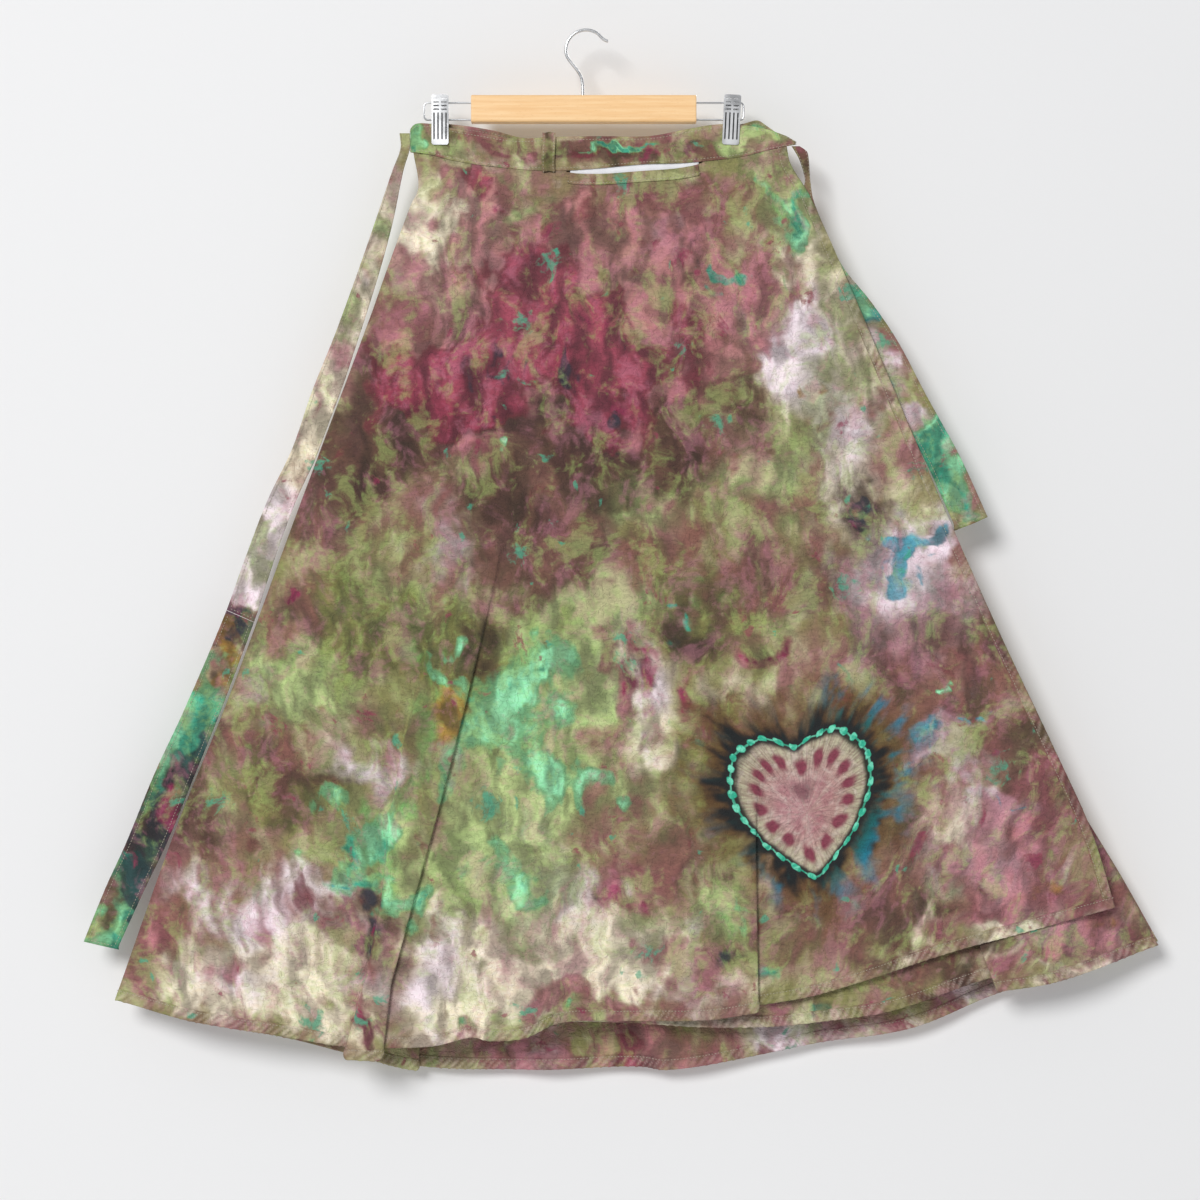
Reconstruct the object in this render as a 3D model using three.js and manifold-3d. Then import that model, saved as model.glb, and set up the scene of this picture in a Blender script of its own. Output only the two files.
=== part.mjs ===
// A hand-dyed cotton wrap skirt that hangs flat on a clip hanger.
//
// Millimetres, +Z up. The origin is the inner crest of the hanger's hook, where the hanger hangs.
// X runs to the right as the skirt is looked at, and its front faces -Y.
// A "drop" is how far a point lies below the origin, so z = -drop.
// A "share" is how far down a panel a row lies: 0 at the waist seam and 1 at the hem.

import * as THREE from 'three';
import { mergeVertices } from 'three/addons/utils/BufferGeometryUtils.js';
import Module from 'manifold-3d';

const wasm = await Module();
wasm.setup();

const { clamp, lerp, smoothstep, degToRad } = THREE.MathUtils;

// ---- Cloth ---------------------------------------------------------------------------------------
const WALL = 1.2;
const HEM_WALL = 1.8;
const HEM_WIDTH = 12;
const BAND_WALL = 2;
const TRIM_WALL = 1;
const SEAM_GAP = 0.6;
const LAYER_GAP = 3;
const FRONT_SWELL = 12;
const BACK_SWELL = 18;
const SIDE_GAP = 0.9;
const SIDE_ROUND = { waist: 25, hem: 90 };
const PANEL_DROP = 880;
const ROW_SHARES = [0, 0.02, 0.07, 0.14, 0.23, 0.33, 0.43, 0.53, 0.62, 0.71, 0.79, 0.86, 0.93];

// The waistband: 33 to 37 mm deep, 386 mm from end to end, dipping between the clips.
const WAIST_SEAM = [
  { x: -176, drop: 121 },
  { x: -156, drop: 124 },
  { x: -133, drop: 130 },
  { x: -79, drop: 137.6 },
  { x: -31, drop: 140.2 },
  { x: 13, drop: 137.6 },
  { x: 54, drop: 133.8 },
  { x: 95, drop: 132.4 },
  { x: 125, drop: 130 },
  { x: 156, drop: 126 },
  { x: 187, drop: 118.4 },
  { x: 210, drop: 113.6 },
];
const FRONT_BAND_TOP = [
  { x: -176, drop: 98 },
  { x: -172, drop: 93.5 },
  { x: -160, drop: 92.6 },
  { x: -137, drop: 97 },
  { x: -110, drop: 101.6 },
  { x: -71, drop: 107.6 },
  { x: -30, drop: 106 },
  { x: 13, drop: 105.4 },
  { x: 64, drop: 105.2 },
  { x: 103, drop: 98 },
  { x: 135, drop: 93.4 },
  { x: 171, drop: 96.2 },
  { x: 199, drop: 104.6 },
  { x: 210, drop: 110.8 },
];
const BACK_BAND_TOP = [
  { x: -176, drop: 97 },
  { x: -168, drop: 92.8 },
  { x: -137, drop: 92.4 },
  { x: -94, drop: 98.6 },
  { x: -64, drop: 106 },
  { x: -20, drop: 107.5 },
  { x: 60, drop: 107 },
  { x: 130, drop: 95 },
  { x: 156, drop: 92.4 },
  { x: 172, drop: 88.6 },
  { x: 180, drop: 93.2 },
  { x: 199, drop: 107 },
];
const BAND_END = { left: -176, frontRight: 210, backRight: 199, underlapLeft: -20 };
const BAND_FOLD = 8;
const UNDERLAP_BAND_DIP = 2;

// Edges of the panels, as far as they show or lie hidden under another panel.
const LEFT_SIDE = [
  { drop: 122, x: -173 },
  { drop: 157, x: -168 },
  { drop: 175, x: -176 },
  { drop: 240, x: -200 },
  { drop: 288, x: -217 },
  { drop: 480, x: -289 },
  { drop: 672, x: -360 },
  { drop: 798, x: -411 },
  { drop: 972, x: -473 },
];
const FREE_EDGE = [
  { drop: 113, x: 201 },
  { drop: 131, x: 205 },
  { drop: 163, x: 224 },
  { drop: 278, x: 274 },
  { drop: 436, x: 340 },
  { drop: 602, x: 412 },
  { drop: 773, x: 492 },
  { drop: 819, x: 510 },
  { drop: 884, x: 529 },
];
const RIGHT_SIDE = [
  { drop: 113, x: 198 },
  { drop: 163, x: 215 },
  { drop: 278, x: 262 },
  { drop: 436, x: 328 },
  { drop: 602, x: 402 },
  { drop: 688, x: 444 },
  { drop: 773, x: 492 },
  { drop: 848, x: 537 },
  { drop: 918, x: 576 },
];
const UNDERLAP_END = [
  { drop: 138, x: -20 },
  { drop: 560, x: -82 },
  { drop: 1000, x: -150 },
];
const FRONT_HEM = [
  { x: -473, drop: 972 },
  { x: -400, drop: 990 },
  { x: -320, drop: 1003 },
  { x: -241, drop: 1016 },
  { x: -155, drop: 1016 },
  { x: -114, drop: 1007 },
  { x: -96, drop: 1011 },
  { x: -62, drop: 1008 },
  { x: -26, drop: 992 },
  { x: 42, drop: 991 },
  { x: 124, drop: 989 },
  { x: 172, drop: 982 },
  { x: 230, drop: 972 },
  { x: 285, drop: 955 },
  { x: 344, drop: 935 },
  { x: 420, drop: 914 },
  { x: 529, drop: 884 },
];
const UNDERLAP_HEM = [
  { x: -150, drop: 992 },
  { x: -11, drop: 993 },
  { x: 172, drop: 999 },
  { x: 285, drop: 987 },
  { x: 328, drop: 976 },
  { x: 402, drop: 951 },
  { x: 471, drop: 938 },
  { x: 576, drop: 903 },
];
const BACK_HEM = [
  { x: -473, drop: 972 },
  { x: -356, drop: 1000 },
  { x: -239, drop: 1029 },
  { x: -173, drop: 1046 },
  { x: -61, drop: 1050 },
  { x: 57, drop: 1047 },
  { x: 80, drop: 1050 },
  { x: 145, drop: 1041 },
  { x: 236, drop: 1023 },
  { x: 328, drop: 1008 },
  { x: 415, drop: 974 },
  { x: 576, drop: 918 },
];

// Knife folds. x is the folded edge that shows, turn the angle through which the cloth turns back and
// lap how far it runs back. side is 1 where the left part lies in front, -1 where the right part does.
// hang is how much lower the cloth to the right of the fold hangs.
const BEND_RADIUS = 1.6;
const BEND_STEPS = 2;
const FLAT_STEP = 1.5;
const LEAST_LAP = 0.6;
const FLUTE_LEFT = {
  side: -1,
  hang: 12,
  rows: [
    { drop: 130, x: -50, turn: 0, lap: 0 },
    { drop: 420, x: -98, turn: 0, lap: 0 },
    { drop: 520, x: -113, turn: 35, lap: 0 },
    { drop: 590, x: -143, turn: 65, lap: 0 },
    { drop: 655, x: -165, turn: 90, lap: 0 },
    { drop: 725, x: -181, turn: 105, lap: 0 },
    { drop: 789, x: -194, turn: 115, lap: 0 },
    { drop: 868, x: -202, turn: 125, lap: 1 },
    { drop: 948, x: -218, turn: 140, lap: 2 },
    { drop: 1028, x: -241, turn: 150, lap: 3 },
  ],
};
const FLUTE_RIGHT = {
  side: 1,
  hang: -12,
  rows: [
    { drop: 130, x: -30, turn: 0, lap: 0 },
    { drop: 420, x: -76, turn: 0, lap: 0 },
    { drop: 520, x: -86, turn: 60, lap: 0 },
    { drop: 590, x: -101, turn: 100, lap: 0 },
    { drop: 655, x: -116, turn: 140, lap: 0 },
    { drop: 725, x: -133, turn: 170, lap: 1 },
    { drop: 789, x: -150, turn: 180, lap: 4 },
    { drop: 868, x: -172, turn: 180, lap: 7 },
    { drop: 948, x: -194, turn: 180, lap: 10 },
    { drop: 1022, x: -203, turn: 180, lap: 13 },
  ],
};
const FRONT_PLEAT = {
  side: 1,
  hang: -6,
  rows: [
    { drop: 130, x: 95, turn: 0, lap: 0 },
    { drop: 680, x: 164, turn: 0, lap: 0 },
    { drop: 760, x: 168, turn: 60, lap: 0 },
    { drop: 815, x: 169, turn: 150, lap: 0 },
    { drop: 850, x: 170, turn: 180, lap: 4 },
    { drop: 982, x: 172, turn: 180, lap: 22 },
  ],
};
const UNDERLAP_PLEAT = {
  side: -1,
  hang: 15,
  rows: [
    { drop: 130, x: 125, turn: 0, lap: 0 },
    { drop: 640, x: 290, turn: 0, lap: 0 },
    { drop: 760, x: 330, turn: 70, lap: 0 },
    { drop: 850, x: 368, turn: 160, lap: 4 },
    { drop: 900, x: 386, turn: 180, lap: 14 },
    { drop: 966, x: 412, turn: 180, lap: 26 },
  ],
};
const BACK_PLEAT = {
  side: 1,
  hang: -4,
  rows: [
    { drop: 130, x: -60, turn: 0, lap: 0 },
    { drop: 780, x: -145, turn: 0, lap: 0 },
    { drop: 880, x: -158, turn: 90, lap: 0 },
    { drop: 960, x: -164, turn: 170, lap: 3 },
    { drop: 1046, x: -170, turn: 180, lap: 12 },
  ],
};

// Soft folds that all the layers share: a ridge comes forward by rise, a trough goes back by -rise.
const SOFT_FOLDS = [
  { waistX: -60, hemX: -330, from: 380, halfWidth: 60, rise: 3 },
  { waistX: -70, hemX: -285, from: 330, halfWidth: 45, rise: -3 },
  { waistX: -55, hemX: -82, from: 240, halfWidth: 48, rise: -3 },
  { waistX: 8, hemX: -35, from: 520, halfWidth: 50, rise: 3.5 },
  { waistX: 60, hemX: 40, from: 420, halfWidth: 55, rise: -3 },
  { waistX: 82, hemX: 118, from: 150, halfWidth: 50, rise: 4 },
  { waistX: 120, hemX: 240, from: 560, halfWidth: 55, rise: -2.5 },
  { waistX: 150, hemX: 330, from: 300, halfWidth: 70, rise: 3 },
  { waistX: 170, hemX: 420, from: 420, halfWidth: 60, rise: -3 },
];
const BACK_RIPPLE = { waistX: 30, hemX: 75, from: 560, halfWidth: 60, rise: 4 };

// The opening under the waistband that a tie passes through, its welt and the stay behind it.
const SLIT = { left: -20, right: 117, gap: 6.5, weltDepth: 11, stayDepth: 16 };

// The ties are 32 to 40 mm wide, the left one joined of two lengths.
const LEFT_TIE = [
  { drop: 102, left: -187, right: -176.6 },
  { drop: 117, left: -186, right: -176.6 },
  { drop: 139, left: -194, right: -183 },
  { drop: 192, left: -212, right: -194 },
  { drop: 244, left: -230, right: -208 },
  { drop: 304, left: -252, right: -227 },
  { drop: 361, left: -275, right: -246 },
  { drop: 418, left: -295, right: -267 },
  { drop: 470, left: -320, right: -291 },
  { drop: 530, left: -343, right: -313 },
  { drop: 586, left: -363, right: -331 },
  { drop: 680, left: -403, right: -366 },
  { drop: 744, left: -433, right: -392 },
  { drop: 814, left: -462, right: -421 },
  { drop: 860, left: -483, right: -443 },
  { drop: 917, left: -506, right: -469 },
];
const LEFT_TIE_JOIN = 586;
const LEFT_TIE_END = 917;
const RIGHT_TIE = [
  { drop: 115.2, left: 206, right: 214 },
  { drop: 120, left: 209, right: 221 },
  { drop: 127, left: 213, right: 223 },
  { drop: 140, left: 217.5, right: 224 },
  { drop: 153, left: 219, right: 225 },
  { drop: 170, left: 208, right: 228 },
  { drop: 200, left: 203, right: 240 },
  { drop: 236, left: 219, right: 257 },
  { drop: 271, left: 248, right: 285 },
  { drop: 311, left: 275, right: 312 },
  { drop: 368, left: 304, right: 342 },
  { drop: 424, left: 336, right: 373 },
  { drop: 494, left: 368, right: 405 },
];
const TIE_CLEARANCE = 2;
const TIE_COLUMNS = 3;
const TIE_STEP = 26;
const TIE_SLANT = { join: 6, leftEnd: 4, rightEnd: -7 };

const BELT_LOOP = { left: -44, right: -31, top: 102, bottom: 141, bow: 1.8, rows: 6 };

// ---- Hanger --------------------------------------------------------------------------------------
const BAR = { left: -115, right: 110.5, top: 64.5, height: 27.5, depth: 16, edge: 3 };
const HOOK = { wire: 3.2, radius: 20.2, shankX: -3.3, sides: 8, steps: 34, intoBar: 18 };
const HOOK_TIP = [
  { x: 22.2, drop: 9.9 },
  { x: 17.7, drop: 7.9 },
];
const HOOK_ARC = { from: 58, to: 215, step: 20 };
const HOOK_NECK = [
  { x: -7.8, drop: 40.6 },
  { x: -4.6, drop: 47 },
  { x: -3.3, drop: 56 },
];
const WIRE = {
  width: 2,
  sides: 6,
  steps: 26,
  corner: 3.5,
  topDrop: 71.6,
  bottomDrop: 88.6,
  leftEnd: -162.3,
  rightEnd: 158,
};
const WIRE_IN_BAR = 12;
const FIT_GAP = 0.3;
const CLIP = { width: 17, height: 50.3, plate: 1, corner: 2.4, top: 64 };
const CLIP_PLACES = [
  { name: 'left', x: -146.1, tilt: 0 },
  { name: 'right', x: 147, tilt: 2.7 },
];
const CLIP_EAR = { wall: 0.8, from: 2.5, to: 26.8, wireHole: 4 };
const CLIP_SLOTS = { columns: [-3.9, 3.9], rows: [4, 7.6, 11.2, 14.8], width: 5.8, height: 1.6 };
const CLIP_GROOVES = { columns: [-6, -2, 2, 6], from: 18, to: 45, width: 1.5, depth: 0.4 };
const CLIP_SPRING = { drop: 16, width: 7, length: 14 };

// ---- Small helpers -------------------------------------------------------------------------------
// A smooth curve through the rows of a table, read from one column to another.
function curveThrough(rows, from, to) {
  const slopes = rows.map((row, index) => {
    const before = rows[Math.max(index - 1, 0)];
    const after = rows[Math.min(index + 1, rows.length - 1)];
    return (after[to] - before[to]) / (after[from] - before[from]);
  });
  return (value) => {
    let index = 0;
    while (index < rows.length - 2 && value > rows[index + 1][from]) index += 1;
    const start = rows[index];
    const end = rows[index + 1];
    const span = end[from] - start[from];
    const s = clamp((value - start[from]) / span, 0, 1);
    const ease = s * s * (3 - 2 * s);
    const leave = s * (1 - s) * (1 - s) * span * slopes[index];
    const arrive = s * s * (s - 1) * span * slopes[index + 1];
    return lerp(start[to], end[to], ease) + leave + arrive;
  };
}

// Straight stretches between the rows of a table, for values that must not overshoot.
function linesThrough(rows, from, to) {
  return (value) => {
    let index = 0;
    while (index < rows.length - 2 && value > rows[index + 1][from]) index += 1;
    const start = rows[index];
    const end = rows[index + 1];
    const s = clamp((value - start[from]) / (end[from] - start[from]), 0, 1);
    return lerp(start[to], end[to], s);
  };
}

function evenly(from, to, steps) {
  return Array.from({ length: steps + 1 }, (_, index) => lerp(from, to, index / steps));
}

// A closed wall from rows of points { x, y, z, half }, each row running to the right.
// The wall lies half to the front and half to the back of its points.
function wall(rows) {
  const across = rows[0].length;
  const points = [];
  const faces = [];
  for (const side of [1, -1]) {
    for (const row of rows) {
      row.forEach((point, index) => {
        const before = row[Math.max(index - 1, 0)];
        const after = row[Math.min(index + 1, across - 1)];
        const length = Math.hypot(after.x - before.x, after.y - before.y);
        const normalX = (after.y - before.y) / length;
        const normalY = -(after.x - before.x) / length;
        points.push(point.x + side * normalX * point.half, point.y + side * normalY * point.half, point.z);
      });
    }
  }
  const backStart = rows.length * across;
  const front = (row, column) => row * across + column;
  const back = (row, column) => backStart + row * across + column;
  const quad = (a, b, c, d) => faces.push(a, b, c, a, c, d);
  for (let row = 0; row < rows.length - 1; row += 1) {
    const next = row + 1;
    for (let column = 0; column < across - 1; column += 1) {
      const right = column + 1;
      quad(front(row, column), front(next, column), front(next, right), front(row, right));
      quad(back(row, column), back(row, right), back(next, right), back(next, column));
    }
    const last = across - 1;
    quad(front(row, last), front(next, last), back(next, last), back(row, last));
    quad(front(row, 0), back(row, 0), back(next, 0), front(next, 0));
  }
  const bottom = rows.length - 1;
  for (let column = 0; column < across - 1; column += 1) {
    const right = column + 1;
    quad(front(0, column), front(0, right), back(0, right), back(0, column));
    quad(front(bottom, column), back(bottom, column), back(bottom, right), front(bottom, right));
  }
  const geometry = new THREE.BufferGeometry();
  geometry.setAttribute('position', new THREE.Float32BufferAttribute(points, 3));
  geometry.setIndex(faces);
  geometry.computeVertexNormals();
  return geometry;
}

function toSolid(geometry) {
  const bare = geometry.clone();
  bare.deleteAttribute('normal');
  bare.deleteAttribute('uv');
  const merged = mergeVertices(bare, 1e-4);
  return new wasm.Manifold(new wasm.Mesh({
    numProp: 3,
    vertProperties: new Float32Array(merged.attributes.position.array),
    triVerts: new Uint32Array(merged.index.array),
  }));
}

function fromSolid(solid) {
  const mesh = solid.getMesh();
  const geometry = new THREE.BufferGeometry();
  geometry.setAttribute('position', new THREE.Float32BufferAttribute(Array.from(mesh.vertProperties), 3));
  geometry.setIndex(Array.from(mesh.triVerts));
  geometry.computeVertexNormals();
  return geometry;
}

function cutAway(geometry, cutters) {
  return fromSolid(cutters.reduce((solid, cutter) => solid.subtract(toSolid(cutter)), toSolid(geometry)));
}

function joined(geometries) {
  return fromSolid(geometries.map(toSolid).reduce((solid, other) => solid.add(other)));
}

function finish(color, roughness, metalness = 0) {
  return new THREE.MeshStandardMaterial({ color, roughness, metalness });
}

function piece(name, geometry, material) {
  const mesh = new THREE.Mesh(geometry, material);
  mesh.name = name;
  return mesh;
}

// ---- How deep each layer lies --------------------------------------------------------------------
const seamDrop = curveThrough(WAIST_SEAM, 'x', 'drop');
const leftSide = curveThrough(LEFT_SIDE, 'drop', 'x');
const freeEdge = curveThrough(FREE_EDGE, 'drop', 'x');
const rightSide = curveThrough(RIGHT_SIDE, 'drop', 'x');
const frontHem = curveThrough(FRONT_HEM, 'x', 'drop');
const backHem = curveThrough(BACK_HEM, 'x', 'drop');

// The clips press the waist flat, and below it the skirt swells open.
const swell = (share) => 1 - (1 - share) ** 3;
const frontDepth = (share) => -LAYER_GAP - FRONT_SWELL * swell(share);
const underlapDepth = () => 0;
const backDepth = (share) => LAYER_GAP + BACK_SWELL * swell(share);

// How far a soft fold moves the cloth at a place: a rounded hump that grows from its start to the hem.
function softFold(fold, x, drop) {
  const down = clamp((drop - fold.from) / (1000 - fold.from), 0, 1);
  const middle = lerp(fold.waistX, fold.hemX, clamp((drop - 130) / 870, 0, 1.1));
  const away = clamp(Math.abs(x - middle) / fold.halfWidth, 0, 1);
  return -fold.rise * Math.sqrt(down) * (1 - smoothstep(away, 0, 1));
}

const softFolds = (x, drop) => SOFT_FOLDS.reduce((sum, fold) => sum + softFold(fold, x, drop), 0);

// ---- Panels --------------------------------------------------------------------------------------
// One knife fold across a row, from where the cloth leaves its plane to where it runs on.
function bend({ side, turn, lap }) {
  const angle = degToRad(turn);
  const back = Math.max(lap, LEAST_LAP);
  const spread = FLAT_STEP * (1 - turn / 180);
  const turnX = BEND_RADIUS * Math.sin(angle) + back * Math.cos(angle) * (turn / 180);
  const turnY = BEND_RADIUS * (1 - Math.cos(angle)) + back * Math.sin(angle) * (turn / 180);
  const points = [];
  for (const step of evenly(0, angle, BEND_STEPS)) {
    points.push({ x: BEND_RADIUS * Math.sin(step), y: BEND_RADIUS * (1 - Math.cos(step)) });
  }
  for (const step of evenly(angle, 0, BEND_STEPS)) {
    points.push({
      x: turnX + BEND_RADIUS * (Math.sin(angle) - Math.sin(step)),
      y: turnY + BEND_RADIUS * (Math.cos(step) - Math.cos(angle)),
    });
  }
  return points.map((point, index) => ({ x: point.x + index * spread, y: side * point.y }));
}

function foldAt(fold, share) {
  const hem = fold.rows.at(-1).drop;
  const drop = lerp(seamDrop(fold.rows[0].x), hem, share);
  const read = (column) => linesThrough(fold.rows, 'drop', column)(drop);
  const turn = read('turn');
  const points = bend({ side: fold.side, turn, lap: read('lap') });
  const width = points.at(-1).x;
  const reach = BEND_RADIUS * Math.sin(degToRad(Math.min(turn, 90)));
  const start = fold.side > 0 ? read('x') - reach : read('x') + reach - width;
  return { points, start, width };
}

// The points across one row of a panel: level runs between its folds, and the folds' own points.
function rowAcross(panel, share) {
  const left = panel.left(lerp(panel.drops.leftTop, panel.drops.leftHem, share));
  const right = panel.right(lerp(panel.drops.rightTop, panel.drops.rightHem, share));
  const points = [];
  let start = left;
  let depth = 0;
  let hang = 0;
  panel.folds.forEach((fold, index) => {
    const at = foldAt(fold, share);
    evenly(start, at.start, panel.runs[index]).slice(0, -1).forEach((x) => points.push({ x, depth, hang }));
    at.points.forEach((point, count) => points.push({
      x: at.start + point.x,
      depth: depth + point.y,
      hang: hang + fold.hang * count / (at.points.length - 1),
    }));
    start = at.start + at.width;
    depth += at.points.at(-1).y;
    hang += fold.hang;
    points.pop();
  });
  evenly(start, right, panel.runs.at(-1)).forEach((x) => points.push({ x, depth, hang }));
  return { left, right, points };
}

function panelRows(panel) {
  const top = rowAcross(panel, 0);
  const hem = rowAcross(panel, 1);
  const hemShare = 1 - HEM_WIDTH / PANEL_DROP;
  const shares = [...ROW_SHARES, hemShare - 0.002, hemShare, 1];
  return shares.map((share) => {
    const row = rowAcross(panel, share);
    const round = lerp(SIDE_ROUND.waist, SIDE_ROUND.hem, share);
    return row.points.map((point) => {
      const across = clamp((point.x - row.left) / (row.right - row.left), 0, 1);
      const topX = lerp(top.left, top.right, across);
      const hemX = lerp(hem.left, hem.right, across);
      const drop = lerp(panel.topDrop(topX), panel.hemDrop(hemX), share) + point.hang * share * share;
      let y = panel.depth(share) + point.depth;
      if (panel.leftMeets) {
        y = lerp(panel.leftMeets(share), y, smoothstep(point.x - row.left, 0, round));
      }
      if (panel.rightMeets) {
        y = lerp(panel.rightMeets(share), y, smoothstep(row.right - point.x, 0, round));
      }
      y += softFolds(point.x, drop) + (panel.ripple ? softFold(panel.ripple, point.x, drop) : 0);
      const half = share >= hemShare ? HEM_WALL / 2 : WALL / 2;
      return { x: point.x, y, z: -drop, half };
    });
  });
}

// Where the front and the back meet at the left side, and the underlap and the back at the right.
const leftMeeting = (share) => (frontDepth(share) + backDepth(share)) / 2;
const rightMeeting = (share) => (underlapDepth(share) + backDepth(share)) / 2;

function slitGap(x) {
  const along = clamp((x - SLIT.left) / (SLIT.right - SLIT.left), 0, 1);
  return SLIT.gap * Math.sqrt(Math.sin(Math.PI * along));
}

const frontTop = (x) => seamDrop(x) + SEAM_GAP + slitGap(x);

const frontPanel = {
  left: leftSide,
  right: freeEdge,
  drops: { leftTop: 122, leftHem: 972, rightTop: 113, rightHem: 884 },
  topDrop: frontTop,
  hemDrop: frontHem,
  folds: [FLUTE_LEFT, FLUTE_RIGHT, FRONT_PLEAT],
  runs: [8, 2, 13, 12],
  depth: frontDepth,
  leftMeets: (share) => leftMeeting(share) - SIDE_GAP,
};

const underlapPanel = {
  left: curveThrough(UNDERLAP_END, 'drop', 'x'),
  right: rightSide,
  drops: { leftTop: 138, leftHem: 992, rightTop: 113, rightHem: 918 },
  topDrop: (x) => seamDrop(x) + SEAM_GAP,
  hemDrop: curveThrough(UNDERLAP_HEM, 'x', 'drop'),
  folds: [UNDERLAP_PLEAT],
  runs: [15, 6],
  depth: underlapDepth,
  rightMeets: (share) => rightMeeting(share) - SIDE_GAP,
};

const backPanel = {
  left: leftSide,
  right: rightSide,
  drops: { leftTop: 122, leftHem: 972, rightTop: 113, rightHem: 918 },
  topDrop: (x) => seamDrop(x) + SEAM_GAP,
  hemDrop: backHem,
  folds: [BACK_PLEAT],
  runs: [10, 22],
  depth: backDepth,
  leftMeets: (share) => leftMeeting(share) + SIDE_GAP,
  rightMeets: (share) => rightMeeting(share) + SIDE_GAP,
  ripple: BACK_RIPPLE,
};

// ---- Waistband, loop, welt and stay --------------------------------------------------------------
function bandRows({ left, right, top, depth, columns }) {
  const endX = evenly(left, left + BAND_FOLD, 3).slice(0, -1);
  const xs = [...endX, ...evenly(left + BAND_FOLD, right, columns)];
  return evenly(0, 1, 2).map((share) => xs.map((x) => ({
    x,
    y: depth(x),
    z: -lerp(top(x), seamDrop(x), share),
    half: BAND_WALL / 2,
  })));
}

// The band's two runs close up at its left end, where it is folded round.
function foldedBand(side) {
  return (x) => side * lerp(BAND_WALL / 2 + 0.2, LAYER_GAP, smoothstep(x - BAND_END.left, 0, BAND_FOLD));
}

function makeBands() {
  const frontTopEdge = curveThrough(FRONT_BAND_TOP, 'x', 'drop');
  const front = { left: BAND_END.left, right: BAND_END.frontRight, top: frontTopEdge, columns: 24 };
  const back = { left: BAND_END.left, right: BAND_END.backRight, columns: 24 };
  const underlap = { left: BAND_END.underlapLeft, right: BAND_END.backRight, columns: 24 };
  return {
    front: wall(bandRows({ ...front, depth: foldedBand(-1) })),
    back: wall(bandRows({ ...back, top: curveThrough(BACK_BAND_TOP, 'x', 'drop'), depth: foldedBand(1) })),
    underlap: wall(bandRows({
      ...underlap,
      top: (x) => frontTopEdge(x) + UNDERLAP_BAND_DIP,
      depth: () => 0,
    })),
  };
}

function makeBeltLoop() {
  const bandFace = -LAYER_GAP - BAND_WALL / 2;
  const xs = evenly(BELT_LOOP.left, BELT_LOOP.right, 2);
  return wall(evenly(0, 1, BELT_LOOP.rows).map((share) => xs.map((x) => ({
    x,
    y: bandFace - FIT_GAP - WALL / 2 - BELT_LOOP.bow * Math.sin(Math.PI * share),
    z: -lerp(BELT_LOOP.top, BELT_LOOP.bottom, share),
    half: WALL / 2,
  }))));
}

// A strip along the slit, made from the front panel's own edge and moved off its face.
function slitStrip({ depth, offset }) {
  const xs = evenly(SLIT.left + 4, SLIT.right - 4, 16);
  return wall([0, depth / 2, depth].map((down) => xs.map((x) => {
    const edge = offset < 0 ? frontTop(x) : seamDrop(x) + SEAM_GAP;
    const share = (edge + down - seamDrop(x)) / (frontHem(x) - seamDrop(x));
    return { x, y: frontDepth(share) + offset, z: -(edge + down), half: TRIM_WALL / 2 };
  })));
}

// ---- Ties ----------------------------------------------------------------------------------------
function tieStrip({ rows, from, to, startSlant = 0, endSlant = 0, depth, wallWidth, clearOf = () => Infinity }) {
  const left = curveThrough(rows, 'drop', 'left');
  const right = curveThrough(rows, 'drop', 'right');
  const steps = Math.ceil((to - from) / TIE_STEP);
  return wall(evenly(0, 1, steps).map((share) => evenly(-1, 1, TIE_COLUMNS).map((across) => {
    const drop = lerp(from, to, share) + across * lerp(startSlant, endSlant, share);
    const innerEdge = Math.min(right(drop), clearOf(drop));
    return {
      x: lerp(left(drop), innerEdge, (across + 1) / 2),
      y: depth(drop),
      z: -drop,
      half: wallWidth / 2,
    };
  })));
}

function leftTieDepth(drop) {
  const share = clamp((drop - seamDrop(BAND_END.left)) / 850, 0, 1);
  return leftMeeting(share) + 2 * Math.sin(drop / 60) * smoothstep(drop, 150, 400);
}

function rightTieDepth(drop) {
  const share = clamp((drop - 117) / 800, 0, 1);
  return (frontDepth(share) + underlapDepth(share)) / 2;
}

// ---- Hanger --------------------------------------------------------------------------------------
function roundSection(width, sides) {
  const shape = new THREE.Shape();
  for (let side = 0; side < sides; side += 1) {
    const angle = 2 * Math.PI * side / sides;
    const x = width / 2 * Math.cos(angle);
    const y = width / 2 * Math.sin(angle);
    if (side === 0) shape.moveTo(x, y);
    else shape.lineTo(x, y);
  }
  shape.closePath();
  return shape;
}

function bentWire(points, { width, sides, steps }) {
  const extrudePath = new THREE.CatmullRomCurve3(points, false, 'centripetal');
  return new THREE.ExtrudeGeometry(roundSection(width, sides), { steps, extrudePath });
}

function levelCylinder(width, length, sides = 16) {
  return new THREE.CylinderGeometry(width / 2, width / 2, length, sides).rotateZ(Math.PI / 2);
}

function makeHook() {
  const points = HOOK_TIP.map((row) => new THREE.Vector3(row.x, 0, -row.drop));
  const centre = HOOK.radius - HOOK.wire / 2;
  for (let angle = HOOK_ARC.from; angle <= HOOK_ARC.to; angle += HOOK_ARC.step) {
    const a = degToRad(angle);
    points.push(new THREE.Vector3(HOOK.radius * Math.cos(a), 0, HOOK.radius * Math.sin(a) - centre));
  }
  HOOK_NECK.forEach((row) => points.push(new THREE.Vector3(row.x, 0, -row.drop)));
  points.push(new THREE.Vector3(HOOK.shankX, 0, -BAR.top));
  points.push(new THREE.Vector3(HOOK.shankX, 0, -BAR.top - HOOK.intoBar));
  return bentWire(points, { width: HOOK.wire, sides: HOOK.sides, steps: HOOK.steps });
}

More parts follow.
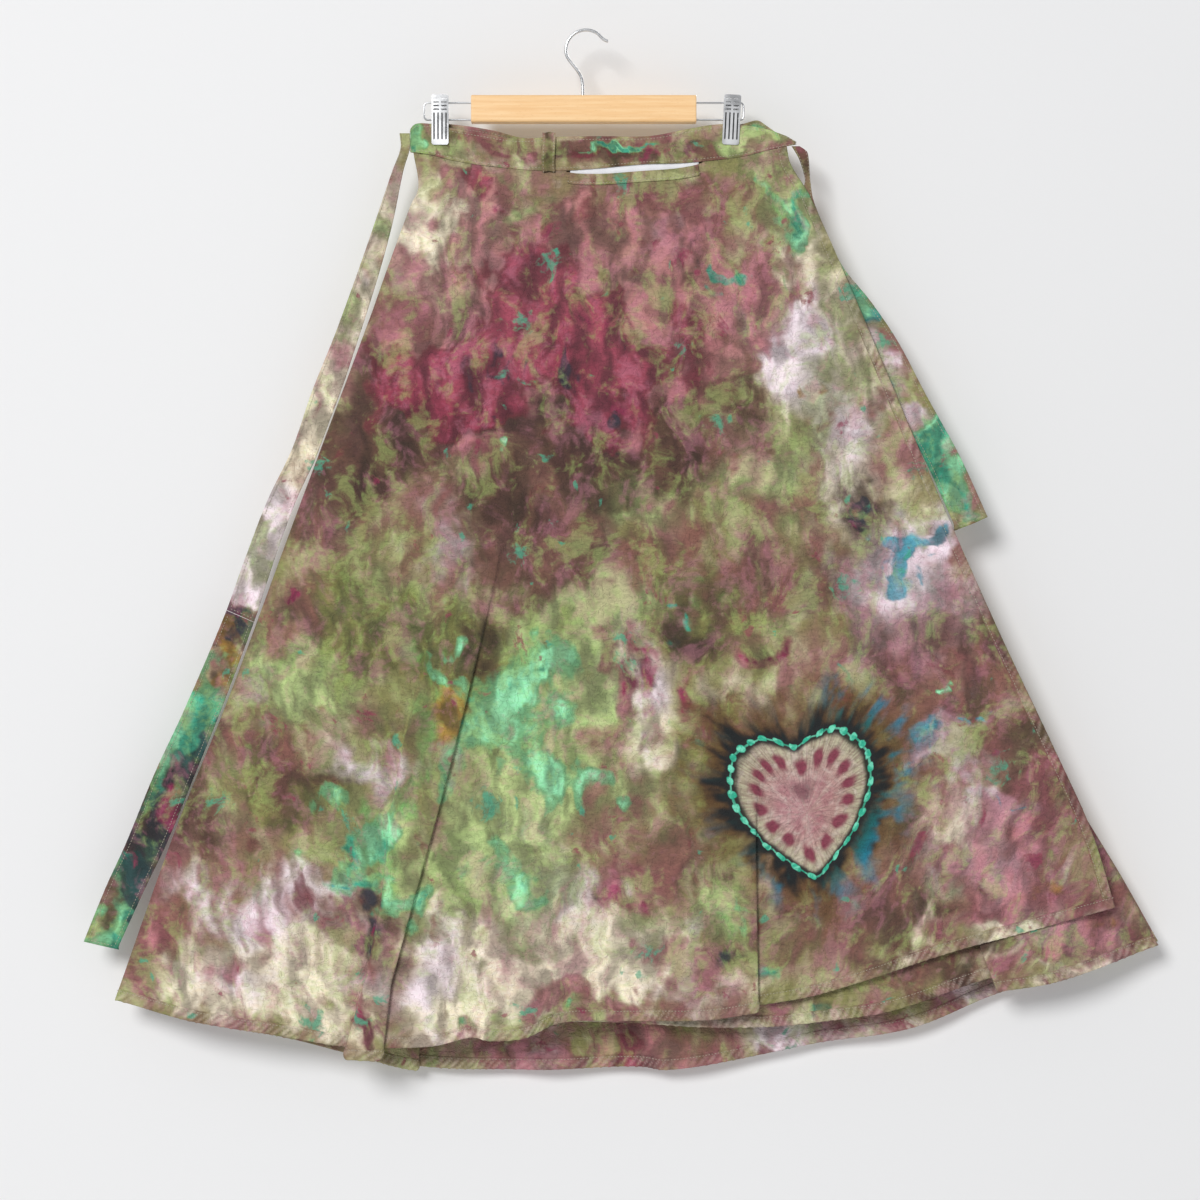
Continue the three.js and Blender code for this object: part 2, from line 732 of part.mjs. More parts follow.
function roundedPlate(width, height, corner) {
  const shape = new THREE.Shape();
  const right = width / 2 - corner;
  const up = height / 2 - corner;
  shape.absarc(right, up, corner, 0, Math.PI / 2);
  shape.absarc(-right, up, corner, Math.PI / 2, Math.PI);
  shape.absarc(-right, -up, corner, Math.PI, 1.5 * Math.PI);
  shape.absarc(right, -up, corner, 1.5 * Math.PI, 2 * Math.PI);
  shape.closePath();
  return shape;
}

function makeBar() {
  const length = BAR.right - BAR.left;
  const section = roundedPlate(BAR.height, BAR.depth, BAR.edge);
  const bar = new THREE.ExtrudeGeometry(section, { depth: length, bevelEnabled: false, curveSegments: 4 });
  bar.rotateY(Math.PI / 2).translate(BAR.left, 0, -BAR.top - BAR.height / 2);
  const shankRadius = HOOK.wire / 2 + FIT_GAP;
  const shank = new THREE.CylinderGeometry(shankRadius, shankRadius, 2 * (HOOK.intoBar + FIT_GAP), 12);
  shank.rotateX(Math.PI / 2).translate(HOOK.shankX, 0, -BAR.top);
  const holes = [shank];
  for (const end of [BAR.left, BAR.right]) {
    for (const drop of [WIRE.topDrop, WIRE.bottomDrop]) {
      const hole = levelCylinder(WIRE.width + 2 * FIT_GAP, 2 * (WIRE_IN_BAR + FIT_GAP), 10);
      holes.push(hole.translate(end, 0, -drop));
    }
  }
  return cutAway(bar, holes);
}

// A wire that leaves the bar's end, runs out, turns down at two tight corners and comes back below.
function makeWireLoop(barEnd, loopEnd) {
  const way = Math.sign(loopEnd - barEnd);
  const inside = barEnd - way * (WIRE_IN_BAR - 1);
  const cornerX = loopEnd - way * WIRE.corner;
  const point = (x, drop) => new THREE.Vector3(x, 0, -drop);
  const points = [point(inside, WIRE.topDrop), point(barEnd, WIRE.topDrop)];
  for (const [start, drop] of [[90, WIRE.topDrop + WIRE.corner], [0, WIRE.bottomDrop - WIRE.corner]]) {
    for (const angle of evenly(start, start - 90, 3)) {
      const a = degToRad(angle);
      points.push(point(cornerX + way * WIRE.corner * Math.cos(a), drop - WIRE.corner * Math.sin(a)));
    }
  }
  points.push(point(barEnd, WIRE.bottomDrop), point(inside, WIRE.bottomDrop));
  return bentWire(points, WIRE);
}

// One jaw of a clip: a pressed plate that faces side -1, the front, or 1, the back.
function makeJaw(side) {
  const inner = LAYER_GAP + BAND_WALL / 2 + FIT_GAP;
  const shape = roundedPlate(CLIP.width, CLIP.height, CLIP.corner);
  const plate = new THREE.ExtrudeGeometry(shape, { depth: CLIP.plate, bevelEnabled: false, curveSegments: 4 });
  plate.rotateX(Math.PI / 2).translate(0, side < 0 ? -inner : inner + CLIP.plate, -CLIP.height / 2);
  const parts = [plate];
  const cuts = [];
  if (side < 0) {
    const reach = 2 * inner - FIT_GAP + CLIP.plate / 2;
    const height = CLIP_EAR.to - CLIP_EAR.from;
    for (const edge of [-1, 1]) {
      const ear = new THREE.BoxGeometry(CLIP_EAR.wall, reach, height);
      const earX = edge * (CLIP.width - CLIP_EAR.wall) / 2;
      parts.push(ear.translate(earX, reach / 2 - inner - CLIP.plate / 2, -(CLIP_EAR.from + CLIP_EAR.to) / 2));
    }
    for (const drop of [WIRE.topDrop, WIRE.bottomDrop]) {
      cuts.push(levelCylinder(CLIP_EAR.wireHole, CLIP.width + 2, 12).translate(0, 0, CLIP.top - drop));
    }
  }
  for (const x of CLIP_SLOTS.columns) {
    for (const drop of CLIP_SLOTS.rows) {
      const slot = new THREE.BoxGeometry(CLIP_SLOTS.width, CLIP.plate * 4, CLIP_SLOTS.height);
      cuts.push(slot.translate(x, side * (inner + CLIP.plate / 2), -drop));
    }
  }
  for (const x of CLIP_GROOVES.columns) {
    const height = CLIP_GROOVES.to - CLIP_GROOVES.from;
    const groove = new THREE.BoxGeometry(CLIP_GROOVES.width, CLIP_GROOVES.depth * 2, height);
    const middle = -(CLIP_GROOVES.from + CLIP_GROOVES.to) / 2;
    cuts.push(groove.translate(x, side * (inner + CLIP.plate), middle));
  }
  return cutAway(joined(parts), cuts);
}

function makeClip({ name, x, tilt }, steel) {
  const clip = new THREE.Group();
  const spring = levelCylinder(CLIP_SPRING.width, CLIP_SPRING.length).translate(0, 0, -CLIP_SPRING.drop);
  clip.add(piece(`clip_${name}_front_jaw`, makeJaw(-1), steel()));
  clip.add(piece(`clip_${name}_back_jaw`, makeJaw(1), steel()));
  clip.add(piece(`clip_${name}_spring`, spring, steel()));
  clip.position.set(x, 0, -CLIP.top);
  clip.rotation.y = degToRad(tilt);
  return clip;
}

// ---- The whole object ----------------------------------------------------------------------------
const cotton = (color) => finish(color, 0.9);
const steel = () => finish('#c9ccd0', 0.22, 1);
const skirt = new THREE.Group();
const bands = makeBands();

skirt.add(piece('front_panel', wall(panelRows(frontPanel)), cotton('#a39a83')));
skirt.add(piece('underlap_panel', wall(panelRows(underlapPanel)), cotton('#b39a96')));
skirt.add(piece('back_panel', wall(panelRows(backPanel)), cotton('#a8948c')));
skirt.add(piece('waistband_front', bands.front, cotton('#8d8672')));
skirt.add(piece('waistband_underlap', bands.underlap, cotton('#8f7f78')));
skirt.add(piece('waistband_back', bands.back, cotton('#8a7c6c')));
skirt.add(piece('belt_loop', makeBeltLoop(), cotton('#7d6f5b')));
const onTheFace = -(WALL + TRIM_WALL) / 2 - FIT_GAP;
skirt.add(piece('slit_welt', slitStrip({ depth: SLIT.weltDepth, offset: onTheFace }), cotton('#9d8f7c')));
skirt.add(piece('slit_stay', slitStrip({ depth: SLIT.stayDepth, offset: LAYER_GAP / 2 }), cotton('#e9e9ec')));
const leftTie = {
  rows: LEFT_TIE,
  depth: leftTieDepth,
  wallWidth: WALL,
  clearOf: (drop) => leftSide(drop) - TIE_CLEARANCE,
};
skirt.add(piece('tie_left_upper', tieStrip({
  ...leftTie,
  from: LEFT_TIE[0].drop,
  to: LEFT_TIE_JOIN,
  endSlant: TIE_SLANT.join,
}), cotton('#d7d0bd')));
skirt.add(piece('tie_left_lower', tieStrip({
  ...leftTie,
  from: LEFT_TIE_JOIN + SEAM_GAP,
  to: LEFT_TIE_END,
  startSlant: TIE_SLANT.join,
  endSlant: TIE_SLANT.leftEnd,
}), cotton('#3b3a3c')));
skirt.add(piece('tie_right', tieStrip({
  rows: RIGHT_TIE,
  from: RIGHT_TIE[0].drop,
  to: RIGHT_TIE.at(-1).drop,
  endSlant: TIE_SLANT.rightEnd,
  depth: rightTieDepth,
  wallWidth: TRIM_WALL,
}), cotton('#3fb3ae')));

skirt.add(piece('hanger_bar', makeBar(), finish('#f0c48a', 0.5)));
skirt.add(piece('hanger_hook', makeHook(), steel()));
skirt.add(piece('wire_loop_left', makeWireLoop(BAR.left, WIRE.leftEnd), steel()));
skirt.add(piece('wire_loop_right', makeWireLoop(BAR.right, WIRE.rightEnd), steel()));
CLIP_PLACES.forEach((place) => skirt.add(makeClip(place, steel)));

export default skirt;
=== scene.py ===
"""A hand-dyed cotton wrap skirt hanging from a wooden clip hanger.

Metres, +Z up, the skirt's front faces -Y. The origin is the inner crest of the hanger's hook. The cutting
tables are in millimetres: x runs to the right as the skirt is looked at, and a drop is how far a point lies
below the origin. A share is how far down a panel a row lies, 0 at the waist seam and 1 at the hem.
"""
import math
from collections import namedtuple

import bmesh
import bpy
import numpy as np
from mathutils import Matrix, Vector


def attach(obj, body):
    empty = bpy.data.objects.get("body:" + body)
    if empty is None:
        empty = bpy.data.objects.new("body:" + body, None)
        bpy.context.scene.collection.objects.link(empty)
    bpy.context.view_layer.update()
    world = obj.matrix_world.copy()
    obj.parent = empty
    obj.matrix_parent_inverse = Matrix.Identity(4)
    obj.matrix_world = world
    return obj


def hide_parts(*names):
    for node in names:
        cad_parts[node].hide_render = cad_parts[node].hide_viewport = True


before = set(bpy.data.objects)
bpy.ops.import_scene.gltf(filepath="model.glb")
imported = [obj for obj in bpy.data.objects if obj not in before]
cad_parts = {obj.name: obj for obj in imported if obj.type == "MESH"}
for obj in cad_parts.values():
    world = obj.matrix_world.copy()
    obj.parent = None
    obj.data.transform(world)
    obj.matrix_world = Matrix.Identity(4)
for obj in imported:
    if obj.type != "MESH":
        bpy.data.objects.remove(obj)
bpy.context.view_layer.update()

MM = 0.001

# ---- Cutting tables ------------------------------------------------------------------------------
# Thicknesses, depths, gaps and the roundings of sides and folds.
WALL = 0.9
HEM_WIDTH = 12
BAND_WALL = 1.9
LAYER_GAP = 3
FRONT_SWELL = 12
BACK_SWELL = 18
SIDE_GAP = 0.9
SIDE_ROUND = (25, 90)
SEAM_GAP = 0.3
BEND_RADIUS = 1.6
BEND_STEPS = 5
FLAT_STEP = 1.5
LEAST_LAP = 0.6

# Each table's columns: x, drop.
WAIST_SEAM = [(-176, 121), (-156, 124), (-133, 130), (-79, 137.6), (-31, 140.2), (13, 137.6), (54, 133.8),
              (95, 132.4), (125, 130), (156, 126), (187, 118.4), (210, 113.6)]
FRONT_BAND_TOP = [(-176, 98), (-172, 93.5), (-160, 92.6), (-137, 97), (-110, 101.6), (-71, 107.6), (-30, 106),
                  (13, 105.4), (64, 105.2), (103, 98), (135, 93.4), (171, 96.2), (199, 104.6), (210, 110.8)]
BACK_BAND_TOP = [(-176, 97), (-168, 92.8), (-137, 92.4), (-94, 98.6), (-64, 106), (-20, 107.5), (60, 107),
                 (130, 95), (156, 92.4), (172, 88.6), (180, 93.2), (199, 107)]
FRONT_HEM = [(-473, 972), (-400, 990), (-320, 1003), (-241, 1016), (-155, 1016), (-114, 1007), (-96, 1011),
             (-62, 1008), (-26, 992), (42, 991), (124, 989), (172, 982), (230, 972), (285, 955), (344, 935),
             (420, 914), (529, 884)]
UNDERLAP_HEM = [(-150, 992), (-11, 993), (172, 999), (285, 987), (328, 976), (402, 951), (471, 938),
                (576, 903)]
BACK_HEM = [(-473, 972), (-356, 1000), (-239, 1029), (-173, 1046), (-61, 1050), (57, 1047), (80, 1050),
            (145, 1041), (236, 1023), (328, 1008), (415, 974), (576, 918)]
# Each table's columns: drop, x.
LEFT_SIDE = [(122, -173), (157, -168), (175, -176), (240, -200), (288, -217), (480, -289), (672, -360),
             (798, -411), (972, -473)]
FREE_EDGE = [(113, 201), (131, 205), (163, 224), (278, 274), (436, 340), (602, 412), (773, 492), (819, 510),
             (884, 529)]
RIGHT_SIDE = [(113, 198), (163, 215), (278, 262), (436, 328), (602, 402), (688, 444), (773, 492), (848, 537),
              (918, 576)]
UNDERLAP_END = [(138, -20), (560, -82), (1000, -150)]
# Each tie table's columns: drop, left edge, right edge.
LEFT_TIE = [(102, -187, -176.6), (117, -186, -176.6), (139, -194, -183), (192, -212, -194), (244, -230, -208),
            (304, -252, -227), (361, -275, -246), (418, -295, -267), (470, -320, -291), (530, -343, -313),
            (586, -363, -331), (680, -403, -366), (744, -433, -392), (814, -462, -421), (860, -483, -443),
            (917, -506, -469)]
RIGHT_TIE = [(115.2, 206, 214), (120, 209, 221), (127, 213, 223), (140, 217.5, 224), (153, 219, 225),
             (170, 208, 228), (200, 203, 240), (236, 219, 257), (271, 248, 285), (311, 275, 312),
             (368, 304, 342), (424, 336, 373), (494, 368, 405)]
TIE_JOIN = 586
TIE_CLEARANCE = 2

# A knife fold: its rows are (drop, x of the folded edge, angle turned back, how far it runs back).
Fold = namedtuple("Fold", "side hang rows")
FLUTE_LEFT = Fold(-1, 12, [(130, -50, 0, 0), (420, -98, 0, 0), (520, -113, 35, 0), (590, -143, 65, 0),
                           (655, -165, 90, 0), (725, -181, 105, 0), (789, -194, 115, 0), (868, -202, 125, 1),
                           (948, -218, 140, 2), (1028, -241, 150, 3)])
FLUTE_RIGHT = Fold(1, -12, [(130, -30, 0, 0), (420, -76, 0, 0), (520, -86, 60, 0), (590, -101, 100, 0),
                            (655, -116, 140, 0), (725, -133, 170, 1), (789, -150, 180, 4),
                            (868, -172, 180, 7), (948, -194, 180, 10), (1022, -203, 180, 13)])
FRONT_PLEAT = Fold(1, -6, [(130, 95, 0, 0), (680, 164, 0, 0), (760, 168, 60, 0), (815, 169, 150, 0),
                           (850, 170, 180, 4), (982, 172, 180, 22)])
UNDERLAP_PLEAT = Fold(-1, 15, [(130, 125, 0, 0), (640, 290, 0, 0), (760, 330, 70, 0), (850, 368, 160, 4),
                               (900, 386, 180, 14), (966, 412, 180, 26)])
BACK_PLEAT = Fold(1, -4, [(130, -60, 0, 0), (780, -145, 0, 0), (880, -158, 90, 0), (960, -164, 170, 3),
                          (1046, -170, 180, 12)])

# Soft folds that all the layers share: a ridge comes forward by rise, a trough goes back by -rise.
Soft = namedtuple("Soft", "waist_x hem_x start half_width rise")
SOFT_FOLDS = [Soft(-60, -330, 380, 60, 3), Soft(-70, -285, 330, 45, -3), Soft(-55, -82, 240, 48, -3),
              Soft(8, -35, 520, 50, 3.5), Soft(60, 40, 420, 55, -3), Soft(82, 118, 150, 50, 4),
              Soft(120, 240, 560, 55, -2.5), Soft(150, 330, 300, 70, 3), Soft(170, 420, 420, 60, -3)]
BACK_RIPPLE = Soft(30, 75, 560, 60, 4)

# Creases pressed into the cloth by hand: from a point, to a point, half width, depth (a ridge if negative).
Crease = namedtuple("Crease", "x1 drop1 x2 drop2 half_width depth")
FRONT_CREASES = [Crease(*row) for row in (
    (-5, 767, -79, 865, 9, 2.0), (-6, 884, -15, 990, 8, 1.8), (-60, 640, -70, 800, 12, 1.2),
    (118, 470, 112, 730, 8, -2.2), (104, 170, 106, 450, 7, -1.6), (-86, 330, -96, 520, 11, 1.8),
    (-140, 230, -205, 560, 10, 1.0), (-225, 520, -330, 880, 9, 1.2), (-300, 560, -420, 930, 10, 1.0),
    (-120, 150, -150, 300, 8, 1.0), (40, 160, 30, 330, 9, 1.0), (10, 500, 34, 700, 10, 1.2),
    (60, 760, 82, 985, 8, 1.4), (130, 860, 140, 985, 7, 1.2), (30, 840, 36, 990, 7, -1.2),
    (-130, 905, -140, 1012, 7, 1.4), (-100, 900, -92, 1008, 6, -1.2), (-55, 930, -50, 1002, 7, 1.2),
    (250, 300, 330, 520, 10, 1.0), (300, 560, 400, 780, 10, 1.2), (200, 180, 262, 330, 8, 1.0),
    (380, 700, 460, 880, 9, 1.0), (220, 850, 240, 965, 8, 1.2), (330, 820, 372, 920, 7, 1.0),
    (-260, 820, -300, 1000, 8, 1.2), (-360, 860, -390, 985, 8, 1.0), (160, 350, 190, 620, 10, 1.0),
    (-160, 590, -210, 760, 9, -0.9), (70, 250, 74, 420, 8, 0.9), (-30, 180, -36, 330, 8, 0.8))]
BACK_CREASES = [Crease(*row) for row in (
    (-40, 150, -90, 520, 12, 1.6), (60, 160, 96, 600, 11, 1.4), (120, 180, 250, 640, 10, 1.4),
    (-100, 260, -230, 760, 11, 1.4), (0, 420, 10, 900, 12, -1.6), (-230, 620, -330, 960, 10, 1.6),
    (170, 560, 300, 960, 11, 1.6), (280, 520, 430, 860, 10, 1.4), (100, 760, 128, 1030, 9, 1.5),
    (-90, 760, -112, 1036, 9, 1.5), (30, 800, 24, 1040, 8, 1.2), (360, 780, 470, 900, 8, 1.2),
    (-150, 160, -200, 420, 9, 1.0), (-300, 800, -360, 980, 9, 1.2), (200, 240, 300, 470, 10, 1.0))]

Slit = namedtuple("Slit", "left right gap welt stay")
SLIT = Slit(-20, 117, 6.5, 11, 16)


# ---- Curves through tables -----------------------------------------------------------------------
def curve_through(rows, column=1):
    """A smooth curve through a table, read from its first column to another; it takes arrays or numbers."""
    xs = np.array([row[0] for row in rows], float)
    ys = np.array([row[column] for row in rows], float)
    slopes = np.empty_like(ys)
    slopes[1:-1] = (ys[2:] - ys[:-2]) / (xs[2:] - xs[:-2])
    slopes[0] = (ys[1] - ys[0]) / (xs[1] - xs[0])
    slopes[-1] = (ys[-1] - ys[-2]) / (xs[-1] - xs[-2])

    def read(value):
        value = np.asarray(value, float)
        index = np.clip(np.searchsorted(xs, value) - 1, 0, len(xs) - 2)
        span = xs[index + 1] - xs[index]
        s = np.clip((value - xs[index]) / span, 0, 1)
        ease = s * s * (3 - 2 * s)
        leave = s * (1 - s) ** 2 * span * slopes[index]
        arrive = s * s * (s - 1) * span * slopes[index + 1]
        return ys[index] * (1 - ease) + ys[index + 1] * ease + leave + arrive
    return read


def mix(a, b, t):
    return a + (b - a) * t


def smooth(value, low, high):
    t = np.clip((np.asarray(value, float) - low) / (high - low), 0, 1)
    return t * t * (3 - 2 * t)


def rounded(inside, reach, least=0):
    """How full a rounded edge is at a distance inside it: from near nothing to 1 at its reach."""
    return np.sqrt(np.clip(inside / reach, least, 1))


seam_drop = curve_through(WAIST_SEAM)
left_side = curve_through(LEFT_SIDE)
front_hem = curve_through(FRONT_HEM)


def swell(share):
    return 1 - (1 - share) ** 3


def front_depth(share):
    return -LAYER_GAP - FRONT_SWELL * swell(share)


def underlap_depth(share):
    return 0 * share


def back_depth(share):
    return LAYER_GAP + BACK_SWELL * swell(share)


def left_meeting(share):
    return (front_depth(share) + back_depth(share)) / 2


def right_meeting(share):
    return (underlap_depth(share) + back_depth(share)) / 2


def soft_fold(fold, x, drop):
    down = np.clip((drop - fold.start) / (1000 - fold.start), 0, 1)
    middle = mix(fold.waist_x, fold.hem_x, np.clip((drop - 130) / 870, 0, 1.1))
    away = np.clip(np.abs(x - middle) / fold.half_width, 0, 1)
    return -fold.rise * np.sqrt(down) * (1 - smooth(away, 0, 1))


def crease_depth(creases, x, drop):
    """Soft troughs along short bent lines, deepest at their middle."""
    depth = np.zeros_like(x)
    for c in creases:
        along_x, along_d = c.x2 - c.x1, c.drop2 - c.drop1
        length = math.hypot(along_x, along_d)
        t = ((x - c.x1) * along_x + (drop - c.drop1) * along_d) / length ** 2
        off = ((x - c.x1) * along_d - (drop - c.drop1) * along_x) / length
        off = off + 0.05 * length * np.sin(3.3 * t + c.x1) * 0.35
        fade = np.clip(t, 0, 1) * np.clip(1 - t, 0, 1) * 4
        wide = c.half_width * (0.7 + 0.6 * np.clip(t, 0, 1))
        depth += c.depth * np.sqrt(np.clip(fade, 0, 1)) * np.exp(-(off / wide) ** 2)
    return depth


# ---- Fixed-seed noise, for the cloth's crinkle and the dye's running edges -------------------------
class Noise:
    """Smooth value noise on a lattice of its own."""

    def __init__(self, seed):
        self.table = np.random.RandomState(seed).rand(256, 256)

    def at(self, x, y):
        xi, yi = np.floor(x).astype(int), np.floor(y).astype(int)
        fx, fy = x - xi, y - yi
        fx, fy = fx * fx * (3 - 2 * fx), fy * fy * (3 - 2 * fy)
        grid = self.table
        low = mix(grid[xi % 256, yi % 256], grid[(xi + 1) % 256, yi % 256], fx)
        high = mix(grid[xi % 256, (yi + 1) % 256], grid[(xi + 1) % 256, (yi + 1) % 256], fx)
        return 2 * mix(low, high, fy) - 1

    def layered(self, x, y, size, layers=3):
        total, weight = 0, 1.0
        for _ in range(layers):
            total = total + weight * self.at(x / size, y / size)
            size, weight = size / 2.1, weight * 0.55
        return total


# ---- Panels --------------------------------------------------------------------------------------
# The cloth's crinkle is 0.35 mm deep, its patches 34 mm across; near a side seam or free edge it fades away.
CRINKLE, CRINKLE_SIZE, CALM_EDGE = 0.35, 34, 20


def bend(side, turn, lap):
    """One knife fold's points across a row, from where the cloth leaves its plane to where it runs on."""
    angle = math.radians(turn)
    back = max(lap, LEAST_LAP) * turn / 180
    turn_x = BEND_RADIUS * math.sin(angle) + back * math.cos(angle)
    turn_y = BEND_RADIUS * (1 - math.cos(angle)) + back * math.sin(angle)
    out = np.linspace(0, angle, BEND_STEPS + 1)
    home = out[::-1]
    x = np.concatenate([BEND_RADIUS * np.sin(out), turn_x + BEND_RADIUS * (math.sin(angle) - np.sin(home))])
    y = np.concatenate([BEND_RADIUS * (1 - np.cos(out)),
                        turn_y + BEND_RADIUS * (np.cos(home) - math.cos(angle))])
    steps = 2 * BEND_STEPS + 1
    spread = FLAT_STEP * 5 / steps * (1 - turn / 180)
    return x + np.arange(len(x)) * spread, side * y


def fold_at(fold, share):
    drop = mix(float(seam_drop(fold.rows[0][1])), fold.rows[-1][0], share)
    drops = [row[0] for row in fold.rows]
    folded_x, turn, lap = (np.interp(drop, drops, [row[k] for row in fold.rows]) for k in (1, 2, 3))
    x, y = bend(fold.side, turn, lap)
    reach = BEND_RADIUS * math.sin(math.radians(min(turn, 90)))
    start = folded_x - reach if fold.side > 0 else folded_x + reach - x[-1]
    return start + x, y


class Panel:
    """A panel worked out row by row, each row running from the left edge through the folds to the right.
    Drops are those of the left edge's two ends, then the right's; runs are the columns between folds."""

    def __init__(self, left, right, drops, top, hem, folds, runs, depth, rows, left_meets=None,
                 right_meets=None, ripple=None, creases=(), seed=0):
        self.left, self.right, self.drops, self.top, self.hem = left, right, drops, top, hem
        self.folds, self.runs, self.depth, self.rows = folds, runs, depth, rows
        self.left_meets, self.right_meets, self.ripple = left_meets, right_meets, ripple
        self.creases, self.noise = creases, Noise(seed)

    def across(self, share):
        left = float(self.left(mix(self.drops[0], self.drops[1], share)))
        right = float(self.right(mix(self.drops[2], self.drops[3], share)))
        xs, ys, hangs = [], [], []
        start, depth, hang = left, 0, 0
        for fold, run in zip(self.folds, self.runs):
            fold_x, fold_y = fold_at(fold, share)
            level = np.linspace(start, fold_x[0], run + 1)[:-1]
            xs += [level, fold_x[:-1]]
            ys += [level * 0 + depth, depth + fold_y[:-1]]
            count = len(fold_x) - 1
            hangs += [level * 0 + hang, hang + fold.hang * np.arange(count) / count]
            start, depth, hang = fold_x[-1], depth + fold_y[-1], hang + fold.hang
        level = np.linspace(start, right, self.runs[-1] + 1)
        xs.append(level)
        ys.append(level * 0 + depth)
        hangs.append(level * 0 + hang)
        return left, right, np.concatenate(xs), np.concatenate(ys), np.concatenate(hangs)

    def grid(self, shares):
        """Points of the wall's middle, rows down and columns across, in millimetres as x, y, drop."""
        top, hem = self.across(0), self.across(1)
        out = []
        for share in shares:
            left, right, x, folded, hang = self.across(share)
            part = np.clip((x - left) / (right - left), 0, 1)
            top_x, hem_x = mix(top[0], top[1], part), mix(hem[0], hem[1], part)
            drop = mix(self.top(top_x), self.hem(hem_x), share) + hang * share * share
            y = self.depth(share) + folded
            rounding = mix(SIDE_ROUND[0], SIDE_ROUND[1], share)
            if self.left_meets:
                y = mix(self.left_meets(share), y, smooth(x - left, 0, rounding))
            if self.right_meets:
                y = mix(self.right_meets(share), y, smooth(right - x, 0, rounding))
            for fold in SOFT_FOLDS + ([self.ripple] if self.ripple else []):
                y = y + soft_fold(fold, x, drop)
            inside = smooth(x - left, 0, CALM_EDGE) * smooth(right - x, 0, CALM_EDGE)
            y = y + crease_depth(self.creases, x, drop) * inside
            y = y + CRINKLE * self.noise.layered(x, drop * 0.6, CRINKLE_SIZE) * inside
            out.append(np.stack([x, y, drop], axis=1))
        return np.array(out)


def slit_gap(x):
    along = np.clip((x - SLIT.left) / (SLIT.right - SLIT.left), 0, 1)
    return SLIT.gap * np.sqrt(np.sin(np.pi * along))


def front_top(x):
    return seam_drop(x) + SEAM_GAP + slit_gap(x)


def plain_top(x):
    return seam_drop(x) + SEAM_GAP


FINE = 1.0


def runs(*counts):
    return [max(2, round(count * FINE)) for count in counts]


FRONT = Panel(left_side, curve_through(FREE_EDGE), (122, 972, 113, 884), front_top, front_hem,
              [FLUTE_LEFT, FLUTE_RIGHT, FRONT_PLEAT], runs(50, 14, 78, 72), front_depth, round(158 * FINE),
              left_meets=lambda s: left_meeting(s) - SIDE_GAP, creases=FRONT_CREASES, seed=11)
UNDERLAP = Panel(curve_through(UNDERLAP_END), curve_through(RIGHT_SIDE), (138, 992, 113, 918), plain_top,
                 curve_through(UNDERLAP_HEM), [UNDERLAP_PLEAT], runs(80, 40), underlap_depth,
                 round(120 * FINE), right_meets=lambda s: right_meeting(s) - SIDE_GAP,
                 creases=BACK_CREASES[3:], seed=23)
BACK = Panel(left_side, curve_through(RIGHT_SIDE), (122, 972, 113, 918), plain_top, curve_through(BACK_HEM),
             [BACK_PLEAT], runs(56, 120), back_depth, round(130 * FINE),
             left_meets=lambda s: left_meeting(s) + SIDE_GAP,
             right_meets=lambda s: right_meeting(s) + SIDE_GAP,
             ripple=BACK_RIPPLE, creases=BACK_CREASES, seed=37)


# ---- Mesh making ---------------------------------------------------------------------------------
def new_object(name, data):
    obj = bpy.data.objects.new(name, data)
    bpy.context.scene.collection.objects.link(obj)
    return obj


def new_mesh(name, vertices, faces, smooth_shaded=True):
    mesh = bpy.data.meshes.new(name)
    mesh.from_pydata(vertices, [], faces)
    mesh.validate()
    mesh.polygons.foreach_set("use_smooth", [smooth_shaded] * len(mesh.polygons))
    return new_object(name, mesh)


def surface_normals(points):
    down = np.gradient(points, axis=0)
    across = np.gradient(points, axis=1)
    normal = np.cross(down, across)
    length = np.linalg.norm(normal, axis=2, keepdims=True)
    return normal / np.maximum(length, 1e-9)


def to_metres(grid):
    """Rows of x, y, drop in millimetres as x, y, z in metres."""
    return grid * np.array([MM, MM, -MM])


def shell(name, grid, half, flat_x=None):
    """A closed cloth wall, half to the front and half to the back of a grid of x, y, drop in millimetres."""
    middle = to_metres(grid)
    rows, columns = middle.shape[:2]
    normal = surface_normals(middle)
    if normal[..., 1].mean() > 0:
        normal = -normal
    half = np.broadcast_to(np.asarray(half, float) * MM, (rows, columns))[..., None]
    faces = [middle + normal * half, middle - normal * half]
    vertices = np.concatenate([face.reshape(-1, 3) for face in faces])
    index = np.arange(rows * columns).reshape(rows, columns)
    a, b, c, d = index[:-1, :-1], index[1:, :-1], index[1:, 1:], index[:-1, 1:]
    front = np.stack([a, b, c, d], axis=-1).reshape(-1, 4)
    back_start = rows * columns
    back = front[:, ::-1] + back_start
    rim = np.concatenate([index[0], index[1:, -1], index[-1, -2::-1], index[-2:0:-1, 0]])
    nxt = np.roll(rim, -1)
    edge = np.stack([rim, nxt, nxt + back_start, rim + back_start], axis=-1)
    obj = new_mesh(name, vertices.tolist(), np.concatenate([front, back, edge]).tolist())
    across = np.cumsum(np.linalg.norm(np.diff(middle, axis=1, prepend=middle[:, :1]), axis=2), axis=1)
    across += middle[:, columns // 2, 0][:, None] - across[:, columns // 2][:, None]
    if flat_x is not None:
        across = np.broadcast_to(flat_x * MM, (rows, columns))
    down = np.broadcast_to(-middle[..., 2], (rows, columns))
    flat = np.stack([across, down], axis=-1).reshape(-1, 2)
    flat = np.concatenate([flat, flat])
    layer = obj.data.uv_layers.new(name="cloth")
    loops = np.empty(len(obj.data.loops), int)
    obj.data.loops.foreach_get("vertex_index", loops)
    layer.data.foreach_set("uv", flat[loops].ravel())
    return obj


